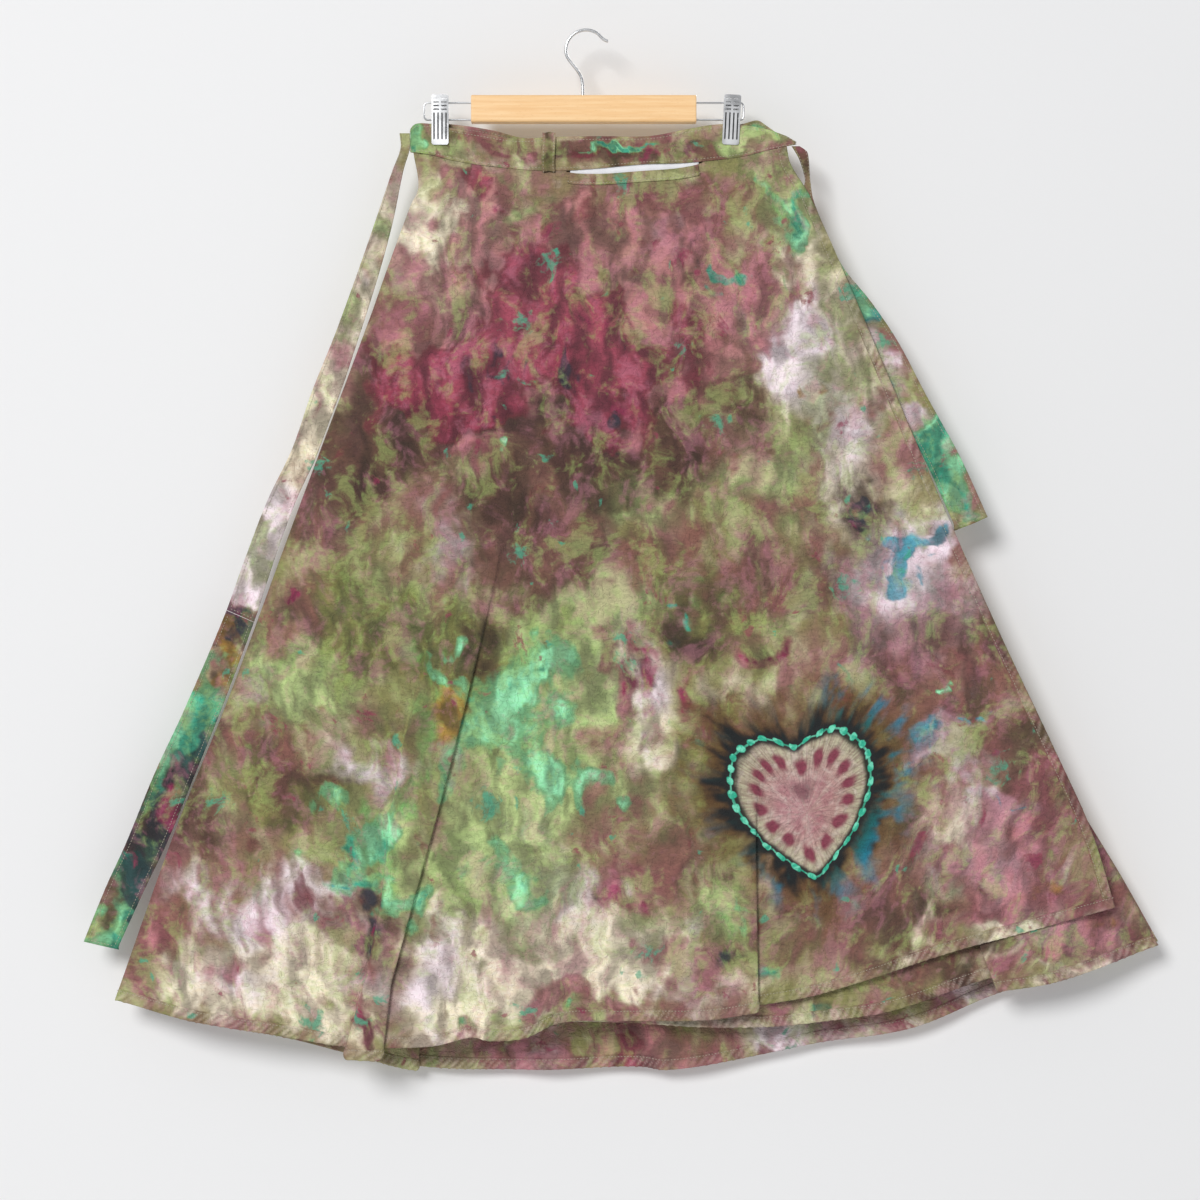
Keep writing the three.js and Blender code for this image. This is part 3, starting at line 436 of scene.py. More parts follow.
def write_layer(obj, name, values):
    """Writes four values for each point of a mesh, for its material to read."""
    layer = obj.data.color_attributes.new(name=name, type="FLOAT_COLOR", domain="POINT")
    layer.data.foreach_set("color", values.ravel())


def paint_pucker_shade(obj, valleys, ridges):
    """Writes where a wall is drawn in, and where it stands up between, from 0 to 1 on both its faces: its
    material paints shade in the first and a highlight on the second.
    """
    values = np.zeros((2, valleys.size, 4))
    values[..., 0], values[..., 1] = valleys.ravel(), ridges.ravel()
    write_layer(obj, "pucker_shade_and_highlight", np.clip(values, 0, 1))


def tube(name, points, radius, sides):
    """A round wire along points, in metres, with flat ends."""
    points = np.array(points, float)
    tangent = np.gradient(points, axis=0)
    tangent /= np.linalg.norm(tangent, axis=1, keepdims=True)
    side = np.array([0.0, 1.0, 0.0])
    turn = np.linspace(0, 2 * math.pi, sides, endpoint=False)
    vertices, faces = [], []
    for point, along in zip(points, tangent):
        other = np.cross(along, side)
        other /= np.linalg.norm(other)
        for angle in turn:
            vertices.append(point + radius * (math.cos(angle) * side + math.sin(angle) * other))
    for ring in range(len(points) - 1):
        for k in range(sides):
            n = (k + 1) % sides
            a, b = ring * sides + k, ring * sides + n
            faces.append((a, b, b + sides, a + sides))
    faces.append(tuple(range(sides))[::-1])
    faces.append(tuple((len(points) - 1) * sides + k for k in range(sides)))
    return new_mesh(name, [tuple(v) for v in vertices], faces)


def bake(obj):
    """Turns an object's modifiers into plain mesh."""
    made = bpy.data.meshes.new_from_object(obj.evaluated_get(bpy.context.evaluated_depsgraph_get()))
    obj.modifiers.clear()
    obj.data = made
    return obj


def face_out(obj):
    """Joins doubled points and turns every face of a closed mesh outwards."""
    mesh = bmesh.new()
    mesh.from_mesh(obj.data)
    bmesh.ops.remove_doubles(mesh, verts=mesh.verts, dist=1e-6)
    bmesh.ops.recalc_face_normals(mesh, faces=mesh.faces)
    mesh.to_mesh(obj.data)
    mesh.free()
    return obj


# ---- Dyes ----------------------------------------------------------------------------------------
# Fibre-reactive dyes that were sprinkled on scrunched wet cotton, from the palest to the darkest. Each has
# its splashes: x, drop, half width, half height, strength and, where it lies askew, its turn in degrees.
# A dye's breadth is how far the running of the cloth breaks it up, and its edge goes from low to high: pale
# dyes lie softly and turn up everywhere, strong ones keep to their splashes and end sharply. A rim is the
# darker line that a dye leaves along its front, and a halo the paler dye into which it thins out.
Dye = namedtuple("Dye", "colour breadth low high rim halo", defaults=(None, None))
DYES = {
    "cream": Dye("#d6cab4", 2.6, 0.16, 0.86),
    "ice": Dye("#d8c9d3", 2.6, 0.26, 1.0),
    "sage": Dye("#9ab272", 3.0, 0.26, 1.05, "#6b6a45"),
    "olive": Dye("#6a6833", 2.8, 0.2, 0.95),
    "mauve": Dye("#794947", 2.8, 0.18, 0.9),
    "rose": Dye("#a3656c", 3.0, 0.42, 1.25, "#7c4348"),
    "umber": Dye("#533a2b", 2.8, 0.16, 0.86),
    "grass": Dye("#5fa856", 3.2, 0.44, 1.2),
    "raspberry": Dye("#8d3049", 3.4, 0.30, 0.85, "#6e2a33", "rose"),
    "ochre": Dye("#96702a", 2.6, 0.44, 1.1),
    "mint": Dye("#7ccb9c", 4.2, 0.68, 1.3, "#4d8a5c", "sage"),
    "teal": Dye("#109078", 3.4, 0.5, 1.05, None, "mint"),
    "cyan": Dye("#1c8ba0", 3.0, 0.50, 1.0, None, "ice"),
    "deep": Dye("#27303c", 2.8, 0.42, 0.95, None, "umber"),
    "crimson": Dye("#861c48", 2.8, 0.46, 0.95, None, "rose"),
}
DYE_NAMES = list(DYES)
DYE_LAYERS = math.ceil(len(DYES) / 3)
SPLASHES = {
    "cream": [
        (-126, 205, 44, 46, 1.2), (215, 240, 40, 50, .9), (250, 460, 40, 40, .6),
        (-300, 975, 100, 26, .9, 6), (-110, 985, 80, 22, .8), (350, 840, 50, 30, .7),
        (20, 170, 40, 16, .6), (420, 880, 40, 40, .9), (376, 850, 30, 50, .6),
        (340, 905, 50, 24, .6, -12), (470, 905, 50, 20, .7, -15), (204, 300, 50, 60, .9),
        (250, 350, 60, 60, .8), (-66, 930, 90, 44, 1), (20, 930, 60, 40, .9), (-330, 930, 90, 40, 1, 8),
        (-60, 800, 50, 60, .6), (60, 660, 60, 50, .9), (230, 800, 50, 50, .4), (-170, 190, 30, 60, .9),
        (-140, 260, 30, 40, .7), (90, 920, 40, 30, .6), (-300, 640, 30, 40, .5),
        (430, 900, 60, 30, .6, -15), (-230, 700, 40, 30, .4), (70, 690, 40, 40, .6),
        (150, 680, 60, 30, .5), (-190, 900, 60, 40, .7), (290, 430, 40, 60, .6), (-100, 210, 40, 30, .6),
        (380, 780, 50, 40, .4), (-400, 960, 50, 24, .6), (150, 960, 50, 20, .5), (-20, 340, 10, 10, .2)],
    "umber": [
        (-10, 440, 50, 40, .7), (-150, 395, 60, 20, .8), (20, 250, 16, 30, .3, 20),
        (100, 260, 16, 40, .3), (150, 780, 30, 70, .7), (230, 700, 70, 26, .7), (310, 790, 30, 60, .6),
        (220, 880, 70, 24, .6), (-200, 400, 60, 44, .9), (-230, 470, 60, 40, .9), (-60, 400, 70, 26, .9),
        (10, 410, 50, 30, .9), (60, 420, 40, 40, .8), (110, 400, 24, 70, .9), (-90, 480, 40, 30, .8),
        (-10, 210, 40, 16, .4), (-270, 740, 60, 18, .7, 10), (-190, 620, 40, 20, .4),
        (120, 600, 40, 30, .6), (350, 720, 60, 24, .5, 20), (-120, 600, 24, 40, .6),
        (420, 740, 20, 60, .6, 25), (-400, 780, 30, 50, .6), (-130, 290, 20, 50, .5),
        (300, 500, 30, 30, .5), (60, 220, 20, 20, .2), (160, 380, 20, 60, .6), (-220, 350, 40, 50, .8),
        (-50, 540, 40, 40, .6), (330, 900, 60, 16, .6, -12), (-100, 640, 16, 60, .6),
        (240, 540, 60, 20, .4)],
    "grass": [
        (-160, 700, 30, 50, .8), (-60, 600, 24, 30, .7), (-190, 820, 40, 30, .8), (-150, 640, 16, 30, .8),
        (180, 200, 20, 40, .7), (-70, 690, 14, 50, .7), (130, 560, 16, 30, .6), (90, 590, 14, 20, .6),
        (-240, 790, 30, 20, .7), (-20, 560, 30, 16, .5), (200, 690, 30, 14, .6), (150, 880, 16, 30, .7),
        (-90, 180, 16, 16, .6), (-150, 200, 8, 30, .5), (70, 300, 20, 16, .5), (-180, 760, 20, 20, .7),
        (80, 640, 12, 16, .5), (0, 700, 10, 40, .6), (260, 330, 14, 20, .4), (-330, 820, 14, 20, .5)],
    "ice": [
        (-330, 650, 34, 30, .6), (-190, 720, 30, 24, .6), (-40, 150, 20, 12, .5), (430, 870, 50, 40, .6),
        (60, 600, 40, 20, .5), (380, 860, 60, 40, .8), (90, 205, 40, 20, .6), (-60, 235, 20, 20, .5),
        (194, 300, 40, 60, .8, 10), (254, 400, 50, 70, .9), (284, 560, 60, 60, .8), (54, 660, 30, 34, .8),
        (-136, 520, 34, 40, .7), (-296, 880, 80, 44, .9, -8), (-146, 930, 34, 60, .8),
        (-36, 870, 60, 50, .8), (-236, 740, 44, 40, .7), (-396, 860, 44, 40, .5), (204, 330, 34, 44, .7),
        (350, 600, 40, 50, .6, 20), (90, 960, 60, 24, .6), (-186, 960, 60, 26, .6),
        (224, 760, 46, 50, .9), (-86, 790, 30, 30, .5), (420, 800, 40, 30, .5), (-166, 240, 24, 30, .5),
        (110, 880, 30, 20, .5), (-346, 960, 70, 20, .6, 5)],
    "sage": [
        (-310, 620, 50, 50, .8), (60, 560, 70, 40, .8), (70, 230, 60, 24, .6), (-20, 200, 30, 20, .5),
        (-86, 180, 40, 34, .9), (34, 262, 34, 34, .8), (-6, 436, 60, 44, .8), (60, 452, 60, 28, .8),
        (-146, 452, 44, 24, .8), (-206, 560, 70, 50, .9, 20), (-256, 640, 60, 60, .8),
        (174, 450, 60, 40, .7), (264, 300, 40, 60, .7, 20), (214, 410, 60, 60, .5),
        (-56, 700, 40, 60, .7), (114, 750, 60, 60, .8), (54, 890, 60, 40, .6), (144, 850, 34, 44, .7),
        (344, 880, 60, 34, .7, -15), (0, 560, 70, 50, .7), (-360, 760, 44, 60, .6, 10),
        (-196, 140, 20, 30, .6), (224, 170, 30, 34, .8, 10), (-110, 860, 30, 50, .6),
        (290, 700, 50, 30, .5), (-430, 930, 40, 30, .5), (180, 600, 50, 40, .6), (-30, 640, 40, 60, .6)],
    "olive": [
        (-300, 760, 50, 30, .7), (-190, 680, 40, 40, .6), (-250, 560, 50, 40, .7), (300, 730, 50, 50, .9),
        (140, 730, 50, 60, .8), (-36, 215, 34, 30, .6), (-186, 590, 80, 44, .9, 15),
        (-126, 612, 50, 34, .9), (-286, 750, 60, 30, .8, 20), (114, 610, 44, 60, .9),
        (54, 520, 60, 30, .8), (264, 520, 44, 30, .6), (294, 690, 60, 24, .8), (-330, 690, 30, 50, .7),
        (440, 850, 20, 24, .7), (150, 540, 50, 40, .6), (-240, 590, 40, 30, .7), (234, 920, 60, 20, .7),
        (-80, 400, 40, 30, .6), (60, 380, 30, 30, .5), (-20, 600, 30, 40, .4), (94, 700, 30, 50, .6),
        (-136, 700, 26, 50, .5), (-116, 250, 20, 40, .5), (-200, 480, 50, 24, .6)],
    "mauve": [
        (-136, 300, 30, 40, .4), (-206, 440, 90, 44, 1, -8), (-256, 490, 56, 50, 1),
        (-46, 460, 60, 56, 1), (-26, 510, 44, 40, .9), (34, 395, 60, 34, .9), (104, 370, 34, 70, .9),
        (114, 172, 80, 20, .8), (294, 340, 20, 60, .8, 25), (-286, 590, 60, 40, .9),
        (-326, 715, 60, 28, .9, 20), (-386, 800, 60, 34, .8, 10), (-106, 530, 50, 44, .8),
        (54, 530, 60, 34, .7), (174, 530, 60, 44, .8), (244, 575, 60, 34, .6), (324, 610, 60, 50, .9, 25),
        (384, 630, 34, 60, .9, 25), (314, 850, 60, 50, .9), (244, 890, 70, 34, .9),
        (464, 780, 30, 70, .9, 25), (344, 670, 60, 34, .8), (94, 810, 50, 60, .8),
        (-206, 930, 26, 60, .8), (-396, 730, 34, 60, .7), (430, 700, 40, 60, .9, 25),
        (480, 860, 40, 30, .8), (-70, 150, 30, 16, .5), (20, 170, 50, 16, .8), (200, 240, 18, 60, .6, 20),
        (150, 410, 30, 60, .6), (-430, 890, 30, 40, .8), (-150, 340, 60, 30, .6), (230, 470, 30, 40, .5),
        (400, 900, 50, 20, .9, -15), (-260, 900, 50, 20, .6)],
    "rose": [
        (60, 985, 70, 24, .8), (-445, 930, 36, 50, 1), (-180, 300, 40, 40, .5), (400, 870, 50, 50, .8),
        (460, 880, 50, 30, .7, -15), (-116, 160, 24, 20, .5), (-176, 222, 34, 30, .8),
        (54, 258, 60, 50, .9), (104, 300, 50, 56, .8), (154, 290, 40, 40, .8), (-26, 200, 30, 18, .7),
        (164, 240, 26, 24, .6), (14, 760, 26, 60, .9), (54, 830, 30, 40, .8), (-286, 890, 60, 36, .6),
        (-346, 935, 28, 36, .8), (-66, 930, 50, 36, .7), (-26, 980, 44, 16, .8),
        (414, 820, 50, 56, .8, 15), (454, 730, 34, 60, .7, 25), (104, 930, 44, 34, .8),
        (-100, 190, 30, 20, .6), (74, 190, 50, 26, .7), (-406, 840, 44, 24, .7),
        (360, 930, 60, 16, .7, -15), (-190, 340, 50, 34, .8), (120, 220, 40, 34, .7),
        (214, 260, 30, 24, .5), (-170, 400, 50, 40, .8), (200, 560, 30, 24, .4), (250, 640, 40, 30, .4),
        (-240, 880, 24, 30, .6), (-60, 300, 60, 60, .8)],
    "raspberry": [
        (-46, 262, 54, 40, 1.1), (-11, 312, 50, 52, 1.1), (34, 320, 44, 44, 1.1),
        (-96, 345, 40, 34, 1.1, 20), (-146, 355, 44, 40, 1), (-160, 392, 36, 24, .9),
        (-66, 310, 34, 50, 1.1), (14, 366, 30, 20, .9), (-200, 330, 24, 30, .7), (-110, 400, 30, 20, .7),
        (110, 322, 30, 24, .5), (-120, 165, 14, 18, .6)],
    "ochre": [
        (-136, 660, 26, 50, 1), (214, 355, 9, 11, 1.2), (-76, 660, 14, 30, .8), (-258, 662, 12, 12, .8),
        (444, 850, 20, 18, .8), (24, 610, 60, 14, .4), (-116, 690, 14, 40, .8), (240, 340, 8, 8, .8),
        (-230, 560, 40, 16, .5), (150, 470, 40, 16, .4), (-180, 640, 20, 14, .6)],
    "mint": [
        (-46, 630, 34, 26, 1), (-76, 670, 34, 44, .9), (-26, 710, 26, 56, 1), (-116, 730, 30, 54, 1, 15),
        (-146, 622, 16, 18, 1.1), (-212, 800, 20, 22, 1), (-262, 765, 14, 26, .9),
        (-180, 842, 22, 12, .9), (-300, 820, 10, 20, .7), (-86, 840, 26, 26, 1), (14, 740, 18, 26, 1),
        (184, 180, 16, 26, 1.1), (-91, 436, 7, 7, 1.6), (338, 650, 5, 12, 1.8), (-56, 760, 20, 60, .8),
        (-60, 590, 14, 14, .8), (160, 870, 14, 34, .8), (-170, 860, 14, 30, .7), (-50, 860, 18, 30, .9),
        (-376, 680, 14, 14, .5), (-100, 1000, 20, 8, 1), (-20, 1000, 24, 6, .9), (300, 450, 10, 14, .4),
        (-140, 560, 10, 20, .5), (216, 210, 12, 20, 1, 10), (-190, 770, 12, 40, .7)],
    "teal": [
        (206, 216, 12, 16, 1.2), (136, 234, 9, 12, 1.3), (-206, 806, 16, 16, .9),
        (-236, 850, 34, 12, 1.2, 10), (-240, 824, 10, 12, 1), (104, 570, 8, 9, 1.2), (264, 650, 6, 6, 1),
        (180, 940, 9, 22, .9), (-60, 640, 10, 8, .8), (-116, 640, 8, 10, .8), (-30, 740, 8, 20, .7),
        (270, 880, 14, 24, .9, 20), (-130, 770, 10, 30, .6, 15), (100, 610, 8, 10, .8),
        (0, 770, 8, 14, .7), (-46, 850, 10, 8, .8), (204, 190, 7, 20, .8, 10), (130, 270, 5, 8, .6)],
    "cyan": [
        (334, 510, 14, 26, 1.2, 15), (322, 520, 12, 22, 1), (348, 548, 8, 12, .9),
        (374, 690, 30, 6, 1, -14), (414, 795, 20, 6, 1, 20), (294, 486, 12, 14, .6),
        (352, 716, 26, 14, 1.1, 30), (330, 735, 30, 10, .9, 10), (380, 650, 16, 5, .6),
        (300, 700, 20, 8, .5), (-250, 845, 16, 8, .7), (-244, 855, 8, 6, .6), (62, 126, 30, 6, 1),
        (10, 124, 14, 6, .5)],
    "deep": [
        (-96, 392, 30, 8, .7, 10), (34, 386, 30, 8, .7), (-10, 345, 8, 20, 1), (-70, 345, 8, 20, 1, 15),
        (284, 465, 13, 11, 1.3), (-216, 876, 16, 18, .9), (24, 885, 12, 10, 1), (114, 236, 8, 14, .8),
        (154, 920, 10, 14, .9), (290, 480, 20, 24, .5), (54, 640, 12, 10, .7), (-20, 310, 5, 26, .7, 12),
        (-96, 340, 5, 22, .7, -12), (-46, 330, 4, 18, .6, 8), (44, 312, 5, 18, .6, -8),
        (-130, 340, 5, 16, .6), (-226, 905, 10, 12, .7), (106, 600, 8, 14, .6), (14, 330, 4, 16, .5),
        (-160, 430, 5, 10, .4)],
    "crimson": [
        (-288, 551, 5, 8, 1.6, -20), (104, 670, 14, 16, 1.2), (124, 720, 13, 10, 1.3),
        (44, 640, 22, 18, .9), (174, 620, 14, 10, 1.1), (190, 632, 10, 8, .9), (54, 872, 14, 10, 1),
        (34, 880, 8, 12, 1), (80, 560, 12, 12, .8), (-36, 850, 8, 10, .6), (-110, 180, 12, 12, .7),
        (100, 700, 10, 12, .7), (-216, 1000, 12, 24, 1.2, 10), (30, 660, 8, 14, .9), (10, 640, 6, 10, .6),
        (280, 470, 12, 10, .7), (60, 610, 8, 8, .8), (130, 640, 8, 8, .6), (-60, 690, 6, 12, .5),
        (60, 920, 10, 8, .6)],
}
BAND_SPLASHES = {
    "cream": [(-60, 118, 24, 12, .6), (176, 104, 20, 10, .9), (-100, 122, 14, 8, .5)],
    "umber": [
        (-20, 112, 24, 10, .6), (40, 132, 60, 7, .9, 4), (110, 106, 24, 8, .7), (90, 112, 30, 8, .5)],
    "grass": [(-92, 132, 30, 5, .7, 8), (180, 112, 16, 12, .6)],
    "sage": [
        (-158, 112, 26, 20, 1), (-120, 116, 22, 12, .7), (166, 116, 34, 20, 1), (192, 112, 20, 16, .9),
        (66, 116, 14, 6, .7), (-50, 130, 20, 8, .6)],
    "olive": [(-130, 106, 24, 8, .8), (-162, 124, 16, 8, .8), (140, 108, 16, 12, .5)],
    "mauve": [
        (-86, 110, 24, 10, .8), (-120, 108, 30, 10, .6), (-14, 122, 30, 16, .9), (10, 112, 30, 8, .7),
        (100, 118, 30, 14, .8), (56, 142, 90, 12, .9), (128, 128, 20, 8, .6)],
    "rose": [
        (-66, 112, 24, 14, 1), (130, 124, 40, 8, .7), (-136, 126, 30, 8, .6), (30, 110, 30, 8, .9),
        (76, 108, 16, 6, .6), (-100, 112, 12, 8, .6)],
    "raspberry": [(16, 134, 30, 8, .6), (-74, 108, 6, 4, .8)],
    "teal": [
        (52, 120, 24, 4, 1.4, -8), (24, 124, 14, 3, 1.1), (-163, 104, 6, 10, .9),
        (184, 108, 16, 3, .8, 20)],
    "mint": [(-156, 100, 10, 8, .6), (190, 114, 14, 6, .6)],
}
LOOP_SPLASHES = {
    "umber": [(-38, 110, 14, 12, 1)],
    "sage": [(-36, 128, 9, 9, .8)],
    "olive": [(-38, 122, 14, 26, 1)],
}
LEFT_TIE_SPLASHES = {
    "cream": [
        (-200, 160, 22, 60, 1), (-225, 250, 40, 80, 1.1), (-275, 370, 36, 60, .9),
        (-330, 510, 60, 100, 1.4)],
    "umber": [(-425, 770, 40, 60, .9), (-352, 600, 30, 12, .9), (-480, 880, 20, 20, .5)],
    "ice": [(-230, 250, 30, 60, .6), (-320, 470, 40, 70, 1), (-350, 560, 30, 40, .8)],
    "sage": [
        (-205, 190, 20, 20, .8), (-240, 300, 20, 24, .7), (-335, 520, 20, 30, .7),
        (-490, 890, 30, 30, 1)],
    "rose": [(-250, 330, 20, 30, .8), (-270, 380, 16, 24, .7), (-300, 430, 14, 20, .5)],
    "olive": [(-232, 262, 14, 18, .8), (-372, 640, 20, 24, 1.2), (-500, 910, 20, 12, .8)],
    "mauve": [(-220, 230, 14, 20, .6), (-425, 770, 40, 50, 1.2)],
    "ochre": [(-365, 622, 16, 14, 1.2), (-360, 606, 12, 8, .8)],
    "teal": [
        (-385, 675, 26, 30, 1.9), (-400, 705, 22, 26, 1.3), (-460, 850, 24, 34, 1.5),
        (-478, 900, 16, 14, .9), (-440, 745, 10, 30, .9)],
    "mint": [(-195, 175, 8, 10, .5), (-498, 905, 14, 16, .6)],
    "cyan": [(-455, 800, 10, 26, .6, 20), (-236, 250, 6, 12, .4)],
    "deep": [
        (-350, 598, 30, 9, 1.3, 10), (-400, 735, 30, 30, 1.5, 10), (-436, 800, 36, 44, 1.3),
        (-465, 860, 24, 30, 1.1), (-380, 690, 12, 30, .8), (-470, 880, 12, 12, .8)],
    "crimson": [(-352, 600, 20, 6, .8), (-420, 770, 20, 30, 1.1), (-290, 412, 4, 8, .6)],
}
RIGHT_TIE_SPLASHES = {
    "umber": [(216, 150, 14, 20, .8), (236, 214, 14, 14, .5)],
    "cream": [(312, 366, 22, 16, 1.2), (280, 250, 10, 12, .6)],
    "ice": [(300, 360, 30, 20, 1.2), (330, 380, 20, 20, .9), (262, 250, 12, 12, .4)],
    "rose": [(214, 120, 16, 10, 1), (222, 165, 10, 20, .6)],
    "mauve": [(218, 140, 14, 30, .9), (230, 200, 16, 16, .6)],
    "sage": [(240, 226, 14, 16, .8), (380, 486, 20, 12, .9)],
    "mint": [(276, 290, 30, 34, 1.2), (350, 420, 30, 26, 1), (384, 470, 24, 18, .8)],
    "cyan": [(284, 300, 18, 44, 1.1, 25), (326, 398, 24, 16, 1.1, 20), (250, 262, 14, 14, .8)],
    "teal": [
        (264, 274, 20, 14, .8), (346, 410, 26, 20, 1.2), (362, 440, 24, 20, 1.2), (376, 462, 12, 12, .8)],
    "ochre": [(392, 478, 12, 10, 1.1), (388, 490, 20, 6, .7)],
    "crimson": [(396, 486, 8, 6, .9), (340, 400, 3, 6, .8)],
    "deep": [(372, 452, 4, 7, .8), (398, 480, 6, 5, .5)],
}
RUN_LARGE, RUN_SMALL = Noise(101), Noise(202)


def lay_dyes(obj, splashes=SPLASHES, mirror=False, shift=(0, 0)):
    """Writes how much of each dye reaches every point of a cloth, its edges drawn out as wet dye runs."""
    count = len(obj.data.vertices)
    points = np.empty(count * 3)
    obj.data.vertices.foreach_get("co", points)
    points = points.reshape(-1, 3) / MM
    x, drop = points[:, 0], -points[:, 2]
    if mirror:
        x = -x
    x, drop = x + shift[0], drop + shift[1]
    # Wet dye ran by about 25 mm in patches 60 mm across, and by about 10 mm in patches 17 mm across.
    run_x = x + 20 * RUN_LARGE.layered(x + 900, drop, 60) + 9 * RUN_SMALL.layered(x, drop + 500, 17)
    run_d = drop + 26 * RUN_LARGE.layered(x, drop + 900, 60) + 12 * RUN_SMALL.layered(x + 700, drop, 17)
    fields = np.zeros((count, len(DYE_NAMES)))
    for dye, places in splashes.items():
        column = DYE_NAMES.index(dye)
        halo = DYES[dye].halo
        for sx, sd, wide, tall, strength, *turn in places:
            turned = math.radians(turn[0] if turn else 0)
            c, s = math.cos(turned), math.sin(turned)
            u = ((run_x - sx) * c + (run_d - sd) * s) / wide
            v = (-(run_x - sx) * s + (run_d - sd) * c) / tall
            away = u * u + v * v
            fields[:, column] += strength * np.exp(-away)
            if halo:
                fields[:, DYE_NAMES.index(halo)] += 0.7 * strength * np.exp(-away / 3.2)
    for part in range(DYE_LAYERS):
        values = np.ones((count, 4))
        values[:, :3] = np.clip(fields[:, 3 * part:3 * part + 3], 0, 2)
        write_layer(obj, f"dye_{part}", values)


# ---- Materials -----------------------------------------------------------------------------------
def linear(hex_colour):
    """An sRGB hex colour as linear red, green, blue, alpha."""
    parts = [int(hex_colour[k:k + 2], 16) / 255 for k in (1, 3, 5)]
    return [v / 12.92 if v <= 0.04045 else ((v + 0.055) / 1.055) ** 2.4 for v in parts] + [1.0]


def darker(hex_colour, times):
    """A hex colour with each of its three parts multiplied."""
    parts = [min(255, round(int(hex_colour[k:k + 2], 16) * times)) for k in (1, 3, 5)]
    return "#%02x%02x%02x" % tuple(parts)


class Tree:
    """A node tree; add() makes one node, sets its options and inputs and links what is passed."""

    def __init__(self, name, node_tree=None):
        if node_tree is None:
            self.material = bpy.data.materials.new(name)
            self.material.use_nodes = True
            node_tree = self.material.node_tree
        self.nodes, self.links = node_tree.nodes, node_tree.links
        self.nodes.clear()

    def add(self, kind, inputs=None, **options):
        node = self.nodes.new(kind)
        for key, value in options.items():
            setattr(node, key, value)
        for key, value in (inputs or {}).items():
            if isinstance(value, bpy.types.NodeSocket):
                self.links.new(value, node.inputs[key])
            else:
                node.inputs[key].default_value = value
        return node

    def math(self, operation, *values):
        return self.add("ShaderNodeMath", dict(enumerate(values)), operation=operation).outputs[0]

    def plus(self, a, b):
        return self.math("ADD", a, b)

    def minus(self, a, b):
        return self.math("SUBTRACT", a, b)

    def times(self, a, b):
        return self.math("MULTIPLY", a, b)

    def over(self, a, b):
        return self.math("DIVIDE", a, b)

    def length(self, a, b):
        """The length of two parts at right angles to each other."""
        return self.math("SQRT", self.plus(self.times(a, a), self.times(b, b)))

    def vector(self, x, y, z):
        return self.add("ShaderNodeCombineXYZ", {"X": x, "Y": y, "Z": z}).outputs[0]

    def ramp(self, value, low, high, to_low=0.0, to_high=1.0):
        inputs = {"Value": value, "From Min": low, "From Max": high, "To Min": to_low, "To Max": to_high}
        return self.add("ShaderNodeMapRange", inputs, interpolation_type="SMOOTHSTEP").outputs["Result"]

    def noise(self, where, scale, detail, roughness=0.5, distortion=0.0):
        """A noise whose patches are about 1000 / scale millimetres across."""
        return self.add("ShaderNodeTexNoise", {"Vector": where, "Scale": scale, "Detail": detail,
                                               "Roughness": roughness, "Distortion": distortion}).outputs

    def parts(self, colour):
        return self.add("ShaderNodeSeparateColor", {"Color": colour}).outputs

    def attribute(self, name):
        """The three parts of a colour that is written on the mesh."""
        return self.parts(self.add("ShaderNodeAttribute", attribute_name=name).outputs["Color"])

    def stretched(self, vector, scale, turn=0.0):
        """A vector stretched along its axes and turned about the axis to the front."""
        inputs = {"Vector": vector, "Scale": scale, "Rotation": (0, turn, 0)}
        return self.add("ShaderNodeMapping", inputs).outputs[0]

    def moved(self, vector, noise_colour, reach):
        """A vector pushed about by a noise's colour, by up to half of reach each way."""
        away = self.add("ShaderNodeVectorMath", {0: noise_colour, 1: (0.5, 0.5, 0.5)}, operation="SUBTRACT")
        return self.add("ShaderNodeVectorMath", {0: away.outputs[0], 1: (reach, reach, reach), 2: vector},
                        operation="MULTIPLY_ADD").outputs[0]

    def blend(self, factor, below, above, how="MIX"):
        return self.add("ShaderNodeMix", {0: factor, 6: below, 7: above}, data_type="RGBA", blend_type=how,
                        clamp_factor=True).outputs[2]

    def tint(self, colour, hex_colour, factor, most=None, how="MIX"):
        """Lays a hex colour over a colour where a factor is high, at the most by a share."""
        factor = factor if most is None else self.times(factor, most)
        return self.blend(factor, colour, linear(hex_colour), how)

    def shades(self, factor, low_hex, high_hex):
        return self.blend(factor, linear(low_hex), linear(high_hex))

    def bump(self, height, distance, strength, below=None):
        inputs = {"Height": height, "Distance": distance, "Strength": strength}
        if below is not None:
            inputs["Normal"] = below
        return self.add("ShaderNodeBump", inputs).outputs[0]

    def surface(self, colour, roughness, **more):
        """A surface shader; an underscore in the name of an input stands for its space."""
        inputs = {"Base Color": colour, "Roughness": roughness}
        inputs.update((name.replace("_", " "), value) for name, value in more.items())
        return self.add("ShaderNodeBsdfPrincipled", inputs).outputs[0]

    def finish(self, shader):
        self.add("ShaderNodeOutputMaterial", {"Surface": shader})
        return self.material


# The heart: tied off tightly, so that a ring of bare cloth took a bright mint beside a near-black halo.
# Its distances are shares of the outline's: 0 in the middle, 1 on the ring of beads.
HEART = dict(x=221, drop=789, half_width=71, half_height=66, tilt=9, dip=0.72)
# Each halo: where it begins to fade, where it ends, colour, strength.
HEART_HALOS = [(1.05, 2.1, "#75572b", 0.8), (1.0, 1.75, "#432814", 0.9), (1.0, 1.36, "#0c1416", 0.98)]
# Each row of dots: distance, half width, count, colour, strength.
HEART_DOTS = [(0.66, 0.14, 16, "#7a2440", 0.92), (0.34, 0.12, 7, "#9a4a5f", 0.35)]
HEART_BEADS = 31


